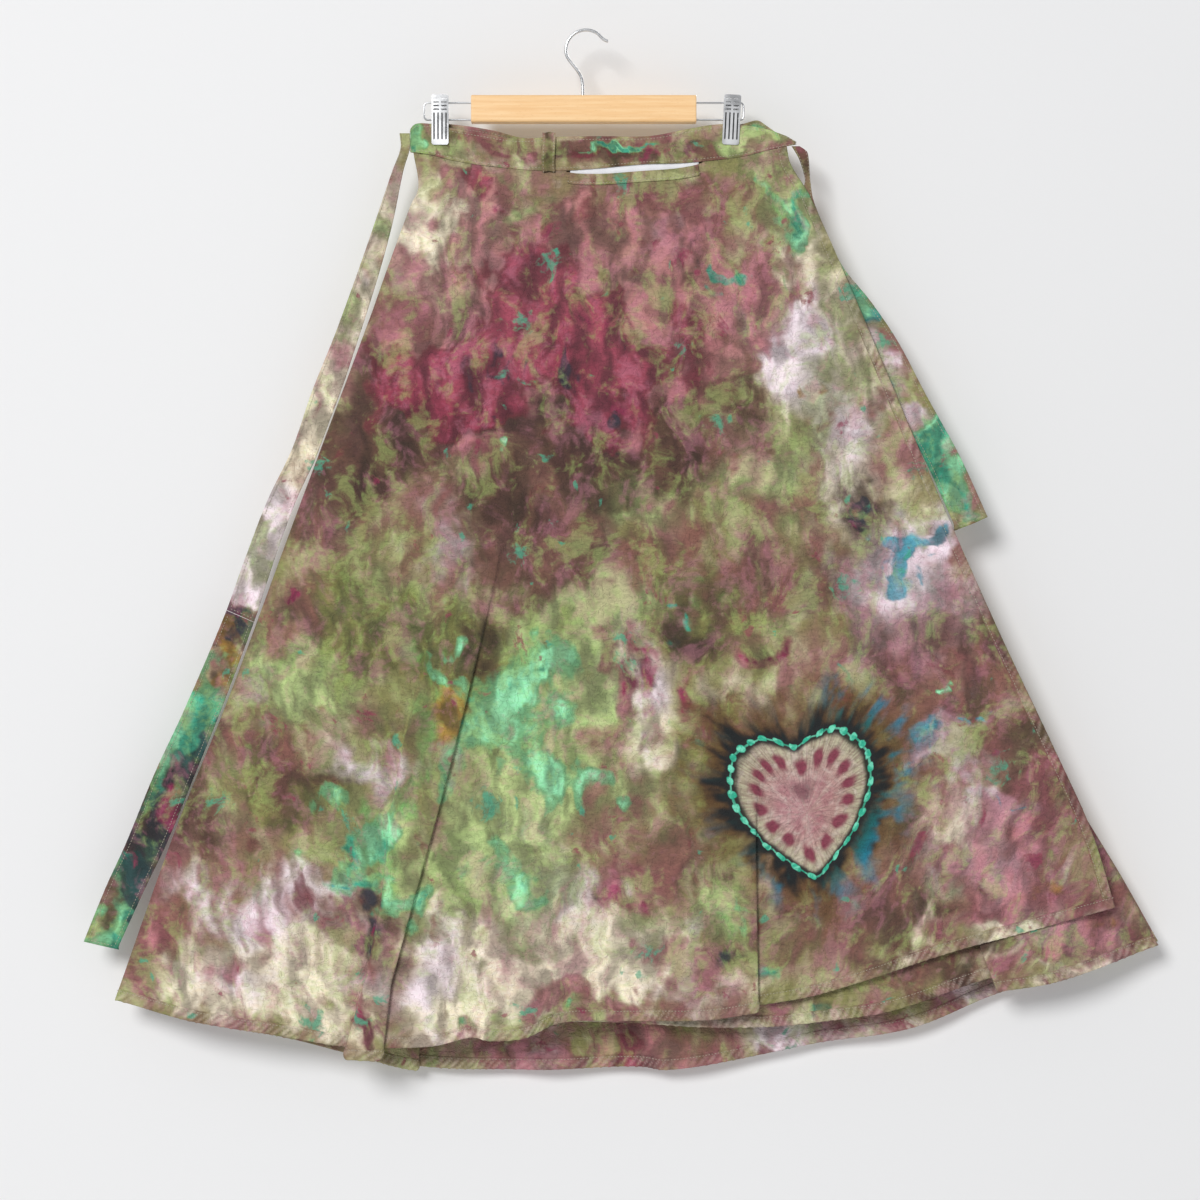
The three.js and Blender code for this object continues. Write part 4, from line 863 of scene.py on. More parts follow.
def heart_place(t, x, drop):
    """A point's place in the heart: how far across and up, where 1 is the outline."""
    tilt = math.radians(HEART["tilt"])
    px = t.minus(x, HEART["x"] * MM)
    py = t.minus(HEART["drop"] * MM, drop)
    across = t.plus(t.times(px, math.cos(tilt)), t.times(py, math.sin(tilt)))
    up = t.minus(t.times(py, math.cos(tilt)), t.times(px, math.sin(tilt)))
    a = t.over(across, HEART["half_width"] * MM)
    rounded = t.math("POWER", t.math("MULTIPLY_ADD", a, a, 0.006), 0.27)
    dip = t.times(t.minus(rounded, 0.1), HEART["dip"])
    return a, t.minus(t.over(up, HEART["half_height"] * MM), dip)


def heart_colours(t, colour, x, drop, detail, feather):
    """Lays the heart's halos, rays, ring of beads and dotted inside over the dyed colour."""
    a, b = heart_place(t, x, drop)
    reach = t.length(a, b)
    angle = t.math("ARCTAN2", b, a)
    ring = t.math("MULTIPLY_ADD", t.minus(detail, 0.5), 0.16, reach)
    # Rays follow the direction from the middle, so they are drawn on that and hardly on the distance.
    aim = [t.times(t.over(part, reach), 3.0) for part in (a, b)]
    ray = t.parts(t.noise(t.vector(aim[0], aim[1], t.times(reach, 1.1)), 1.7, 2.5)["Color"])
    outside = t.ramp(reach, 0.97, 1.0)
    spread = t.math("MULTIPLY_ADD", ray[0], -1.5, t.plus(ring, 0.75))
    for low, high, hue, most in HEART_HALOS:
        colour = t.tint(colour, hue, t.times(t.ramp(spread, low, high, most, 0.0), outside))
    # Blue rays shine through the halos, most of all at the right and below.
    lit = t.plus(t.ramp(a, 0.1, 1.1, 0.12, 0.95), t.ramp(b, -1.4, -0.5, 0.5, 0.0))
    lit = t.times(t.math("MINIMUM", lit, 0.95), t.ramp(reach, 1.04, 1.22, 0.25, 1.0))
    blue = t.times(t.times(t.ramp(ray[1], 0.46, 0.64), t.ramp(spread, 1.2, 2.0, 1.0, 0.0)), lit)
    teal = t.shades(t.ramp(reach, 1.15, 1.6), "#0a5a58", "#107f9d")
    colour = t.blend(t.times(blue, outside), colour, teal)
    # Inside, gathers under the thread leave fine streaks that run towards the middle.
    inside = t.ramp(ring, 0.9, 0.96, 1.0, 0.0)
    pale = t.shades(t.ramp(reach, 0.45, 0.85), "#b9908c", "#b7b196")
    gathers = t.noise(t.vector(t.times(aim[0], 4.0), t.times(aim[1], 4.0), reach), 2.2, 2.0)["Fac"]
    pale = t.tint(pale, "#84625f", t.ramp(gathers, 0.38, 0.66), 0.6)
    pale = t.tint(pale, "#d3c4b8", t.ramp(feather, 0.45, 0.7), 0.5)
    colour = t.blend(t.times(inside, 0.92), colour, pale)

    def beads(middle, wide, count, wander, length):
        """How near a point is to a bead on a ring: 0 in its middle, 1 at its edge."""
        out = t.over(t.minus(ring, middle), wide)
        along = t.math("SINE", t.math("MULTIPLY_ADD", detail, wander, t.times(angle, count)))
        return t.length(out, t.over(t.minus(1.0, along), length))

    # A ring of crimson dots lies inside the outline and a fainter one further in.
    for middle, wide, count, hue, most in HEART_DOTS:
        colour = t.tint(colour, hue, t.ramp(beads(middle, wide, count, 5.0, 1.7), 0.4, 1.2, most, 0.0))
    blush = t.times(t.ramp(reach, 0.1, 0.6, 1.0, 0.0), t.ramp(ray[1], 0.4, 0.6))
    colour = t.tint(colour, "#ab6f7b", blush, 0.5)
    knot = t.length(t.over(a, 0.22), t.over(t.minus(b, 0.3), 0.2))
    colour = t.tint(colour, "#552a35", t.ramp(knot, 0.2, 1.1, 0.6, 0.0))
    # The mint beads stand on a dark rim, with a thin mint line through them.
    rim = t.times(t.ramp(ring, 0.86, 0.95), t.ramp(ring, 1.04, 1.12, 1.0, 0.0))
    colour = t.tint(colour, "#15191a", rim, 0.95)
    bead_width = t.math("MULTIPLY_ADD", ray[2], 0.07, 0.012)
    dash = t.ramp(beads(0.995, bead_width, HEART_BEADS, 4.0, 1.45), 0.75, 1.15, 1.0, 0.0)
    line = t.ramp(t.math("ABSOLUTE", t.minus(ring, 0.99)), 0.006, 0.02, 0.7, 0.0)
    mint = t.shades(t.ramp(feather, 0.4, 0.6), "#2bb08f", "#74e0bd")
    return t.blend(t.times(t.math("MAXIMUM", dash, line), 0.95), colour, mint)


def dye_specks(t, colour, place, feather):
    """Grains of dye that melted late: strong spots about 5 and 13 mm across that fade out at their edges."""
    for scale, chance, reach in ((30.0, 0.86, 0.26), (70.0, 0.93, 0.22)):
        cells = t.add("ShaderNodeTexVoronoi", {"Vector": place, "Scale": scale, "Randomness": 1.0}).outputs
        pick = t.parts(cells["Color"])
        chosen = t.math("GREATER_THAN", pick[0], chance)
        rough = t.math("MULTIPLY_ADD", t.minus(feather[0], 0.5), 1.8, cells["Distance"])
        spot = t.times(t.ramp(rough, 0.0, reach * 1.5, 1.0, 0.0), chosen)
        strong = t.shades(t.math("GREATER_THAN", pick[1], 0.62), "#86204a", "#3b9c80")
        colour = t.blend(t.times(spot, 0.7), colour, strong)
    return colour


def dyed_cotton(name, heart=False):
    """Plain-woven cotton, scrunched and ice-dyed: matt, faintly hairy, crinkled, each dye feathered out."""
    t = Tree(name)
    axes = t.add("ShaderNodeSeparateXYZ", {"Vector": t.add("ShaderNodeTexCoord").outputs["Object"]}).outputs
    x, drop = axes["X"], t.times(axes["Z"], -1.0)
    # The dye was laid on the flat cloth, so its pattern follows the cloth and a fold hides some of it.
    cloth = t.add("ShaderNodeUVMap", uv_map="cloth").outputs[0]
    laid_flat = t.add("ShaderNodeSeparateXYZ", {"Vector": cloth}).outputs
    where = t.vector(laid_flat[0], 0.0, t.times(laid_flat[1], -1.0))
    # The cloth lay scrunched under the ice, so the dye's grain swirls: it wanders by up to 15 mm over 60 mm.
    place = t.moved(where, t.noise(where, 16.0, 2.0)["Color"], 0.046)
    # Soft fronts of dye 55 mm across, petals 22 mm across drawn out to 44 mm, and fringes 8 mm across.
    fronts = t.noise(place, 18.0, 3.0, 0.48)["Color"]
    drawn = t.stretched(t.moved(place, fronts, 0.016), (1.0, 1.0, 0.5), 0.3)
    petals = t.noise(drawn, 46.0, 2.5)["Color"]
    fringes = t.noise(t.moved(place, petals, 0.008), 120.0, 4.0, 0.55)["Color"]
    front, petal, feather = t.parts(fronts), t.parts(petals), t.parts(fringes)
    colour = t.shades(t.ramp(front[0], 0.36, 0.62), "#84814f", "#8d635d")
    colour = t.tint(colour, "#b3aa88", t.ramp(petal[1], 0.42, 0.66), 0.6)
    fields = [part for layer in range(DYE_LAYERS) for part in t.attribute(f"dye_{layer}")[:3]]
    for number, (dye, field) in enumerate(zip(DYES.values(), fields)):
        breadth = dye.breadth
        way = 1 if number % 2 else -1
        broken = t.math("MULTIPLY_ADD", front[number % 3], 0.4 * breadth * way, field)
        broken = t.math("MULTIPLY_ADD", petal[(number // 3 + number) % 3], 0.38 * breadth, broken)
        broken = t.math("MULTIPLY_ADD", feather[(number // 2) % 3], 0.07 * breadth, broken)
        middle = breadth * (0.2 * way + 0.215)
        strength = t.ramp(broken, dye.low + middle, dye.high + middle)
        shade = t.shades(t.ramp(petal[(number + 1) % 3], 0.35, 0.68), darker(dye.colour, 0.72),
                         darker(dye.colour, 1.16))
        colour = t.blend(t.times(strength, 0.8), colour, shade)
        if dye.rim:
            colour = t.tint(colour, dye.rim, t.times(strength, t.minus(1.0, strength)), 2.2)
    # Thin washes of pink and leaf green that ran last over everything.
    for wash, against, hue in ((0, 2, "#b57488"), (1, 0, "#97b765")):
        run = t.plus(petal[wash], t.minus(front[(wash + 1) % 3], feather[against]))
        colour = t.tint(colour, hue, t.ramp(run, 0.48, 0.8), 0.34)
    # Where much dye gathered the cloth is deeper, and where little reached it is paler.
    grey = t.add("ShaderNodeRGBToBW", {"Color": colour}).outputs[0]
    depth = t.math("POWER", t.over(grey, 0.2), 0.2)
    colour = t.add("ShaderNodeHueSaturation", {"Color": colour, "Value": depth}).outputs[0]
    colour = dye_specks(t, colour, place, feather)
    if heart:
        colour = heart_colours(t, colour, x, drop, petal[1], feather[0])
    # Painted shade in the hems' pucker valleys, along their stitch line and at their inner edge, and a
    # painted highlight on the ridges between.
    pucker_shade_and_highlight = t.attribute("pucker_shade_and_highlight")
    colour = t.tint(colour, "#85736c", pucker_shade_and_highlight[0], 0.45, "MULTIPLY")
    colour = t.tint(colour, "#d9ccc2", pucker_shade_and_highlight[1], 0.28)
    # Dry crinkle: wavy ridges 3 mm across and 7 mm long, painted darker in their low parts and lighter on
    # their highs, as painted shade and highlight that follow their bump.
    ridges = t.noise(t.stretched(where, (0.42, 1.0, 1.0), -0.12), 340.0, 2.0, 0.6, 0.7)["Fac"]
    colour = t.blend(0.18, colour, t.shades(t.ramp(ridges, 0.3, 0.7), "#868480", "#f0f0ec"), "OVERLAY")
    # Crinkle about 10 mm across, and the weave drawn 1.4 mm apart: real threads lie 0.45 mm apart.
    crinkle = t.noise(where, 100.0, 3.0, 0.55, 0.5)["Fac"]
    sharp = t.ramp(t.math("ABSOLUTE", t.minus(crinkle, 0.5)), 0.0, 0.035)
    crinkle = t.math("MULTIPLY_ADD", sharp, 0.16, crinkle)
    threads = [t.add("ShaderNodeTexWave", {"Vector": cloth, "Scale": 224.0, "Distortion": 1.5, "Detail": 2.0},
                     bands_direction=way).outputs["Fac"] for way in ("X", "Y")]
    weave = t.times(t.plus(threads[0], threads[1]), 0.5)
    normal = t.bump(crinkle, 0.0035, 0.7)
    normal = t.bump(ridges, 0.0011, 0.6, normal)
    normal = t.bump(weave, 0.00025, 0.4, normal)
    return t.finish(t.surface(colour, 0.9, IOR=1.53, Sheen_Weight=0.08, Sheen_Roughness=0.5, Normal=normal))


def white_tape(name):
    """Undyed woven cotton tape with a slight satin face."""
    t = Tree(name)
    where = t.add("ShaderNodeTexCoord").outputs["Object"]
    # Ribs drawn 1.7 mm apart, as coarse as shows.
    ribs = t.add("ShaderNodeTexWave", {"Vector": where, "Scale": 260.0, "Distortion": 0.6},
                 bands_direction="DIAGONAL").outputs["Fac"]
    colour = t.shades(t.noise(where, 90.0, 4.0)["Fac"], "#dcdde2", "#f6f6f8")
    normal = t.bump(ribs, 0.0002, 0.4)
    return t.finish(t.surface(colour, 0.6, IOR=1.53, Sheen_Weight=0.1, Normal=normal))


def lacquered_beech(name):
    """Pale beech, planed and given a satin lacquer: fine grain along the bar with short darker rays."""
    t = Tree(name)
    where = t.add("ShaderNodeTexCoord").outputs["Object"]
    # Growth rings show as bands 3 to 5 mm wide stretched along the bar; rays are 2 mm flecks.
    along = t.stretched(where, (0.06, 1.0, 1.0))
    grain = t.noise(along, 420.0, 6.0, 0.6, 0.3)["Fac"]
    rings = t.add("ShaderNodeTexWave", {"Vector": along, "Scale": 42.0, "Distortion": 5.0, "Detail": 3.0,
                                        "Detail Scale": 1.2}, bands_direction="Z").outputs["Fac"]
    rays = t.add("ShaderNodeTexVoronoi", {"Vector": t.stretched(where, (0.35, 1.0, 1.6)), "Scale": 420.0})
    colour = t.shades(t.ramp(grain, 0.3, 0.7), "#f0c288", "#f6cf9a")
    colour = t.tint(colour, "#d99f5e", t.ramp(rings, 0.55, 1.0), 0.16)
    colour = t.tint(colour, "#c98c4f", t.ramp(rays.outputs["Distance"], 0.06, 0.2, 1.0, 0.0), 0.3)
    normal = t.bump(grain, 0.0001, 0.25)
    return t.finish(t.surface(colour, 0.42, IOR=1.5, Coat_Weight=0.25, Coat_Roughness=0.25, Normal=normal))


def bright_steel(name, roughness=0.26, shade=1.0):
    """Nickel-plated steel wire and pressings: bright, with faint drawing marks."""
    t = Tree(name)
    where = t.add("ShaderNodeTexCoord").outputs["Object"]
    # Fine scuffs about 0.8 mm apart and duller patches about 20 mm across.
    marks = t.noise(where, 1200.0, 3.0)["Fac"]
    dull = t.noise(where, 50.0, 3.0)["Fac"]
    rough = t.ramp(dull, 0.3, 0.7, roughness - 0.06, roughness + 0.1)
    colour = t.shades(dull, darker("#c6c7c8", shade), darker("#e6e7e8", shade))
    normal = t.bump(marks, 0.00005, 0.3)
    return t.finish(t.surface(colour, rough, Metallic=1.0, Normal=normal))


def sewing_thread(name, colour_hex):
    """Spun polyester thread, softly shiny."""
    t = Tree(name)
    where = t.add("ShaderNodeTexCoord").outputs["Object"]
    # Its twist shows as paler patches about 1 mm apart.
    colour = t.shades(t.noise(where, 900.0, 2.0)["Fac"], colour_hex, "#c9c2ae")
    return t.finish(t.surface(colour, 0.6, IOR=1.53, Sheen_Weight=0.2))


DYED = dyed_cotton("ice_dyed_cotton")
DYED_HEART = dyed_cotton("ice_dyed_cotton_heart", heart=True)
TAPE = white_tape("undyed_tape")
BEECH = lacquered_beech("lacquered_beech")
STEEL = bright_steel("nickel_plated_steel")
# A darker, rougher steel for the faces inside the slots and grooves: painted shade, not a finish of the
# steel.
PAINTED_SHADE_STEEL = bright_steel("steel_painted_dark_as_shade_in_slots_and_grooves", 0.5, 0.3)
THREAD = sewing_thread("sewing_thread", "#9b9078")


# ---- Putting a piece in place ---------------------------------------------------------------------
def finish_piece(obj, material=DYED, nodes=()):
    """Gives a piece its material and slot, rides it on the body and lets it stand for its CAD nodes."""
    obj.data.materials.clear()
    obj.data.materials.append(material)
    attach(obj, "root")
    if nodes:
        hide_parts(*nodes)
    return obj


# ---- Stitches -------------------------------------------------------------------------------------
STITCH = {"Pitch": 0.0032, "Length": 0.0025, "Thickness": 0.00055, "Unevenness": 0.14, "Seed": 7}


def stitch_group(material):
    """Geometry nodes that lay a stitch, a long bead of thread, at every pitch along lines of edges."""
    group = bpy.data.node_groups.new("stitch_row", "GeometryNodeTree")
    group.interface.new_socket("Lines", in_out="INPUT", socket_type="NodeSocketGeometry")
    for name, value in STITCH.items():
        kind = "NodeSocketInt" if name == "Seed" else "NodeSocketFloat"
        group.interface.new_socket(name, in_out="INPUT", socket_type=kind).default_value = value
    group.interface.new_socket("Stitches", in_out="OUTPUT", socket_type="NodeSocketGeometry")
    t = Tree("stitch_row", group)
    given = t.add("NodeGroupInput").outputs
    curve = t.add("GeometryNodeMeshToCurve", {"Mesh": given["Lines"]}).outputs[0]
    places = t.add("GeometryNodeResampleCurve", {"Curve": curve, "Length": given["Pitch"]}, mode="LENGTH")
    tangent = t.add("GeometryNodeInputTangent").outputs[0]
    way = t.add("FunctionNodeAlignRotationToVector", {"Vector": tangent}, axis="X").outputs[0]
    bead = t.add("GeometryNodeMeshUVSphere", {"Segments": 6, "Rings": 4, "Radius": 0.5}).outputs["Mesh"]
    size = t.vector(given["Length"], given["Thickness"], given["Thickness"])
    bead = t.add("GeometryNodeTransform", {"Geometry": bead, "Scale": size}).outputs[0]
    least = t.minus(1.0, given["Unevenness"])
    vary = t.add("FunctionNodeRandomValue", {2: least, 3: 1.0, "Seed": given["Seed"]}, data_type="FLOAT")
    laid = t.add("GeometryNodeInstanceOnPoints", {"Points": places.outputs[0], "Instance": bead,
                                                  "Rotation": way, "Scale": vary.outputs[1]}).outputs[0]
    laid = t.add("GeometryNodeRealizeInstances", {"Geometry": laid}).outputs[0]
    laid = t.add("GeometryNodeSetMaterial", {"Geometry": laid, "Material": material}).outputs[0]
    t.add("NodeGroupOutput", {"Stitches": laid})
    return group


STITCHES = stitch_group(THREAD)


def sew(name, lines, seed=7):
    """Rows of stitches along lines of points in millimetres as x, y, drop."""
    vertices, edges = [], []
    for line in lines:
        start = len(vertices)
        vertices += [tuple(point) for point in to_metres(np.asarray(line, float))]
        edges += [(k, k + 1) for k in range(start, len(vertices) - 1)]
    mesh = bpy.data.meshes.new(name)
    mesh.from_pydata(vertices, edges, [])
    obj = new_object(name, mesh)
    modifier = obj.modifiers.new("stitch_row", "NODES")
    modifier.node_group = STITCHES
    for item in STITCHES.interface.items_tree:
        if item.in_out == "INPUT" and item.name in STITCH:
            modifier[item.identifier] = seed if item.name == "Seed" else STITCH[item.name]
    obj = bake(obj)
    obj.data.polygons.foreach_set("use_smooth", [True] * len(obj.data.polygons))
    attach(obj, "root")
    return obj


# ---- Panels with their hems -----------------------------------------------------------------------
# A hem's rows lie at these distances from its edge, and its puckers 8.6 mm apart.
HEM_ROWS = [12, 11.5, 10, 8, 6, 4, 2.4, 1.2, 0.5, 0]
HEM_SPACING = 1.7 / FINE
HEM_STITCH_LINE = 0.82
FREE_EDGE_WIDTH = 10
PUCKER = 8.6


def edge_strip(grid, depths, spacing, low=-1e9, high=1e9):
    """A dense grid that follows the last row of a grid, its rows at the given distances inside that edge.
    Also the way along that row, and the cloth's own x there, which its folds don't shorten."""
    keep = (grid[-1, :, 0] >= low) & (grid[-1, :, 0] <= high)
    lines = grid[::-1, keep]
    steps = np.linalg.norm(np.diff(lines, axis=0, prepend=lines[:1]), axis=2)
    reach = np.cumsum(steps, axis=0)
    inner = np.empty((len(depths), lines.shape[1], 3))
    for column in range(lines.shape[1]):
        for axis in range(3):
            inner[:, column, axis] = np.interp(depths, reach[:, column], lines[:, column, axis])
    along = np.cumsum(np.linalg.norm(np.diff(inner[-1], axis=0, prepend=inner[-1, :1]), axis=1))
    at = np.linspace(0, along[-1], max(2, round(along[-1] / spacing)))
    out = np.empty((len(depths), len(at), 3))
    for row in range(len(depths)):
        for axis in range(3):
            out[row, :, axis] = np.interp(at, along, inner[row, :, axis])
    middle = lines.shape[1] // 2
    return out, at, at - along[middle] + inner[-1, middle, 0]


HEM_NOISE = Noise(71)
HEM_STITCHES = {}


def pinch_line(depths, width):
    return np.exp(-((depths - HEM_STITCH_LINE * width) / 0.7) ** 2)


def hem_piece(name, grid, seed, amount=1.0, width=HEM_WIDTH, upright=False):
    """A narrow turned hem along a grid's last row: doubled cloth that its stitches draw into puckers."""
    depths = [d * width / HEM_WIDTH for d in HEM_ROWS]
    strip, at, flat_x = edge_strip(grid, depths, HEM_SPACING)
    if upright:
        flat_x = strip[..., 0]
    depths = np.array(depths)[:, None]
    wander = 14 * HEM_NOISE.layered(at / 60.0 + seed, 0 * at + seed, 1.0, 2)
    strength = 0.55 + 0.45 * HEM_NOISE.layered(at / 22.0, 0 * at + seed + 40, 1.0, 2)
    phase = 2 * np.pi * (at + wander - 0.9 * depths) / PUCKER
    normal = surface_normals(strip)
    normal = normal * np.where(normal[..., 1:2] > 0, -1, 1)
    belly = np.sin(np.pi * np.clip((width - depths) / width, 0, 1)) ** 0.6
    ridge = 1 - (0.5 - 0.5 * np.sin(phase)) ** 2.5
    strip[..., 2] += amount * 0.7 * strength * np.sin(phase) * (1 - np.clip(depths / 4, 0, 1))
    roll = rounded(depths, 1.2, 0.06)
    inner_edge = rounded(width - depths, 0.8)
    pinch = 1 - 0.75 * pinch_line(depths, width)
    raised = (0.35 + amount * 0.85 * strength * ridge * belly) * pinch * roll * inner_edge
    half = (WALL / 2 + 0.1) * roll + raised
    stitched = int(np.argmin(np.abs(depths[:, 0] - HEM_STITCH_LINE * width)))
    seam = normal[stitched] * half[stitched][:, None]
    HEM_STITCHES[name] = [strip[stitched] + seam, strip[stitched] - seam]
    hem = shell(name, strip, half, flat_x)
    # Painted shade for the material: the pucker valleys, the stitch line and the hem's inner edge; painted
    # highlight on the ridges.
    low = smooth(-np.sin(phase), 0.35, 1) * smooth(belly, 0.1, 0.6)
    valleys = strength * low + 0.5 * smooth(depths, 0.93 * width, width) + 0.3 * pinch_line(depths, width)
    paint_pucker_shade(hem, valleys, strength * smooth(np.sin(phase), 0.3, 1) * belly)
    return hem


def panel_shares(rows):
    """Even shares down a panel, with closer ones where the hem begins."""
    return np.concatenate([np.linspace(0, 0.98, rows), [0.985, 0.99, 0.9945, 0.9992]])


FRONT_GRID = FRONT.grid(panel_shares(FRONT.rows))
UNDERLAP_GRID = UNDERLAP.grid(panel_shares(UNDERLAP.rows))
BACK_GRID = BACK.grid(panel_shares(BACK.rows))


front = shell("front_cloth", FRONT_GRID, WALL / 2)
underlap = shell("underlap_cloth", UNDERLAP_GRID, WALL / 2)
back = shell("back_cloth", BACK_GRID, WALL / 2)
front_hem_piece = hem_piece("front_hem", FRONT_GRID, 3)
underlap_hem_piece = hem_piece("underlap_hem", UNDERLAP_GRID, 17)
back_hem_piece = hem_piece("back_hem", BACK_GRID, 29)
free_edge = hem_piece("front_free_edge", np.swapaxes(FRONT_GRID, 0, 1)[:, :-3], 41, amount=0.7,
                      width=FREE_EDGE_WIDTH, upright=True)

# The back's hem took less cream and more of three other dyes.
BACK_HEM_START = 900
BACK_SPLASHES = dict(SPLASHES)
BACK_SPLASHES["cream"] = [splash for splash in SPLASHES["cream"] if splash[1] < BACK_HEM_START]
BACK_SPLASHES["rose"] = SPLASHES["rose"] + [(-60, 985, 70, 24, .9), (110, 975, 60, 24, .8)]
BACK_SPLASHES["raspberry"] = SPLASHES["raspberry"] + [(-10, 985, 30, 20, .8), (-150, 970, 24, 16, .6)]
BACK_SPLASHES["sage"] = SPLASHES["sage"] + [(-160, 985, 50, 16, .8), (210, 970, 50, 20, .8)]
for cloth in (front, front_hem_piece, free_edge):
    lay_dyes(cloth)
for cloth in (underlap, underlap_hem_piece):
    lay_dyes(cloth, shift=(-60, -36))
for cloth in (back, back_hem_piece):
    lay_dyes(cloth, BACK_SPLASHES, mirror=True, shift=(40, -60))

finish_piece(front, DYED_HEART, nodes=["front_panel"])
finish_piece(underlap, nodes=["underlap_panel"])
finish_piece(back, nodes=["back_panel"])
for cloth in (front_hem_piece, underlap_hem_piece, back_hem_piece, free_edge):
    finish_piece(cloth)


# ---- Waistband, belt loop and the opening under the band ------------------------------------------
BAND = namedtuple("Band", "left front_right back_right underlap_left fold")(-176, 210, 199, -20, 8)
BAND_NOISE = Noise(83)
BAND_STEP = 2.4 / FINE
BAND_ROWS = np.array([0, 0.015, 0.05, 0.1, 0.2, 0.3, 0.4, 0.5, 0.6, 0.7, 0.8, 0.86, 0.92, 0.96, 0.985, 1])


def band_grid(left, right, top, depth, spread=0.0):
    """A run of waistband: rows from its folded top edge down to its seam, gathered by its stitches."""
    xs = np.linspace(left, right, round((right - left) / BAND_STEP))
    shares = BAND_ROWS[:, None]
    drop = mix(top(xs), seam_drop(xs) + 0 * xs, shares)
    ease = 0.45 * BAND_NOISE.layered(xs[None, :] + 5 * shares, 40 * shares + left, 17, 3)
    tug = 0.28 * np.sin(2 * np.pi * (xs[None, :] - 6 * shares) / 7.4) * smooth(shares, 0.7, 0.97)
    calm = np.sin(np.pi * np.clip(shares, 0.02, 1)) ** 0.5
    y = depth(xs)[None, :] + (ease * calm + tug) * spread
    x = np.broadcast_to(xs, drop.shape)
    return np.stack([x, y, drop], axis=-1)


def band_half(grid):
    """Half the thickness of a band: rolled over at its top edge, pinched at its two rows of stitches."""
    share = BAND_ROWS[:, None]
    edge = rounded(share, 0.04, 0.12) * rounded(1 - share, 0.05, 0.12)
    pinch = 1 - 0.22 * np.exp(-((share - 0.9) / 0.035) ** 2) - 0.16 * np.exp(-((share - 0.08) / 0.03) ** 2)
    return BAND_WALL / 2 * edge * pinch + 0 * grid[..., 0]


def band_side(xs, side):
    return side * mix(BAND_WALL / 2 + 0.25, LAYER_GAP, smooth(xs - BAND.left, 0, BAND.fold))


front_band_top, back_band_top = curve_through(FRONT_BAND_TOP), curve_through(BACK_BAND_TOP)
band_front_grid = band_grid(BAND.left, BAND.front_right, front_band_top, lambda x: band_side(x, -1), 1.0)
band_underlap_grid = band_grid(BAND.underlap_left, BAND.back_right, lambda x: front_band_top(x) + 2,
                               lambda x: 0 * x, 0.5)
band_back_grid = band_grid(BAND.left, BAND.back_right, back_band_top, lambda x: band_side(x, 1), 0.6)
band_front = shell("waistband_front_cloth", band_front_grid, band_half(band_front_grid))
band_underlap = shell("waistband_underlap_cloth", band_underlap_grid, band_half(band_underlap_grid))
band_back = shell("waistband_back_cloth", band_back_grid, band_half(band_back_grid))

LOOP = namedtuple("Loop", "left right top bottom bow wall")(-44, -31, 102, 141, 1.8, 1.2)


def belt_loop_grid():
    xs = np.array([0, 0.04, 0.12, 0.25, 0.4, 0.5, 0.6, 0.75, 0.88, 0.96, 1])
    shares = np.linspace(0, 1, 30)[:, None]
    x = mix(LOOP.left, LOOP.right, xs) + 0.5 * np.sin(5 * shares + 1)
    drop = mix(LOOP.top, LOOP.bottom, shares) + 0.4 * np.sin(9 * xs) + 0 * xs
    y = -LAYER_GAP - BAND_WALL / 2 - 0.6 - LOOP.wall / 2 - LOOP.bow * np.sin(np.pi * shares) + 0 * xs
    y = y - 0.25 * np.cos(2 * np.pi * xs * 1.5) * np.sin(np.pi * shares)
    return np.stack([x + 0 * shares, y, drop], axis=-1)


loop_grid = belt_loop_grid()
loop_edge = rounded(np.array([0, 0.04, 0.12, 0.25, 0.4, 0.5, 0.4, 0.25, 0.12, 0.04, 0]), 0.1, 0.15)
belt_loop = shell("belt_loop_cloth", loop_grid, LOOP.wall / 2 * loop_edge[None, :] + 0 * loop_grid[..., 0])


WELT_HALF = 0.62
WELT_ROWS = np.linspace(0, 1, 12)


def welt_points():
    """The welt: a strip along the opening's lower edge, set off from the front panel."""
    top_rows = FRONT_GRID[::-1][-12:]
    strip, at, _ = edge_strip(top_rows, np.linspace(SLIT.welt, 0, len(WELT_ROWS)), 2.0, SLIT.left + 3,
                              SLIT.right - 4)
    strip = strip[::-1].copy()
    strip[..., 1] -= WALL / 2 + 0.75
    share = WELT_ROWS[:, None]
    strip[..., 1] -= 0.3 * np.sin(2 * np.pi * (at[None, :] + 5 * share) / 8.3) * np.sin(np.pi * share)
    return strip


welt_grid = welt_points()
welt_edge = np.sqrt(np.clip(WELT_ROWS / 0.12, 0.2, 1) * np.clip(WELT_ROWS[::-1] / 0.1, 0.2, 1))
welt = shell("slit_welt_cloth", welt_grid, WELT_HALF * welt_edge[:, None] + 0 * welt_grid[..., 0])


def stay_grid():
    xs = np.linspace(SLIT.left + 4, SLIT.right - 4, 60)
    share = np.linspace(0, 1, 14)[:, None]
    drop = seam_drop(xs) - 1.5 + share * SLIT.stay
    y = -LAYER_GAP + 1.35 + 0.12 * np.sin(xs / 6.0) + 0 * share
    return np.stack([xs + 0 * share, y, drop], axis=-1)


stay = shell("slit_stay_tape", stay_grid(), 0.45)

for cloth in (band_front, band_back, band_underlap, welt):
    lay_dyes(cloth, BAND_SPLASHES, mirror=cloth is band_back)
lay_dyes(belt_loop, LOOP_SPLASHES)
finish_piece(band_front, nodes=["waistband_front"])
finish_piece(band_underlap, nodes=["waistband_underlap"])
finish_piece(band_back, nodes=["waistband_back"])
finish_piece(belt_loop, nodes=["belt_loop"])
finish_piece(welt, nodes=["slit_welt"])
finish_piece(stay, TAPE, ["slit_stay"])


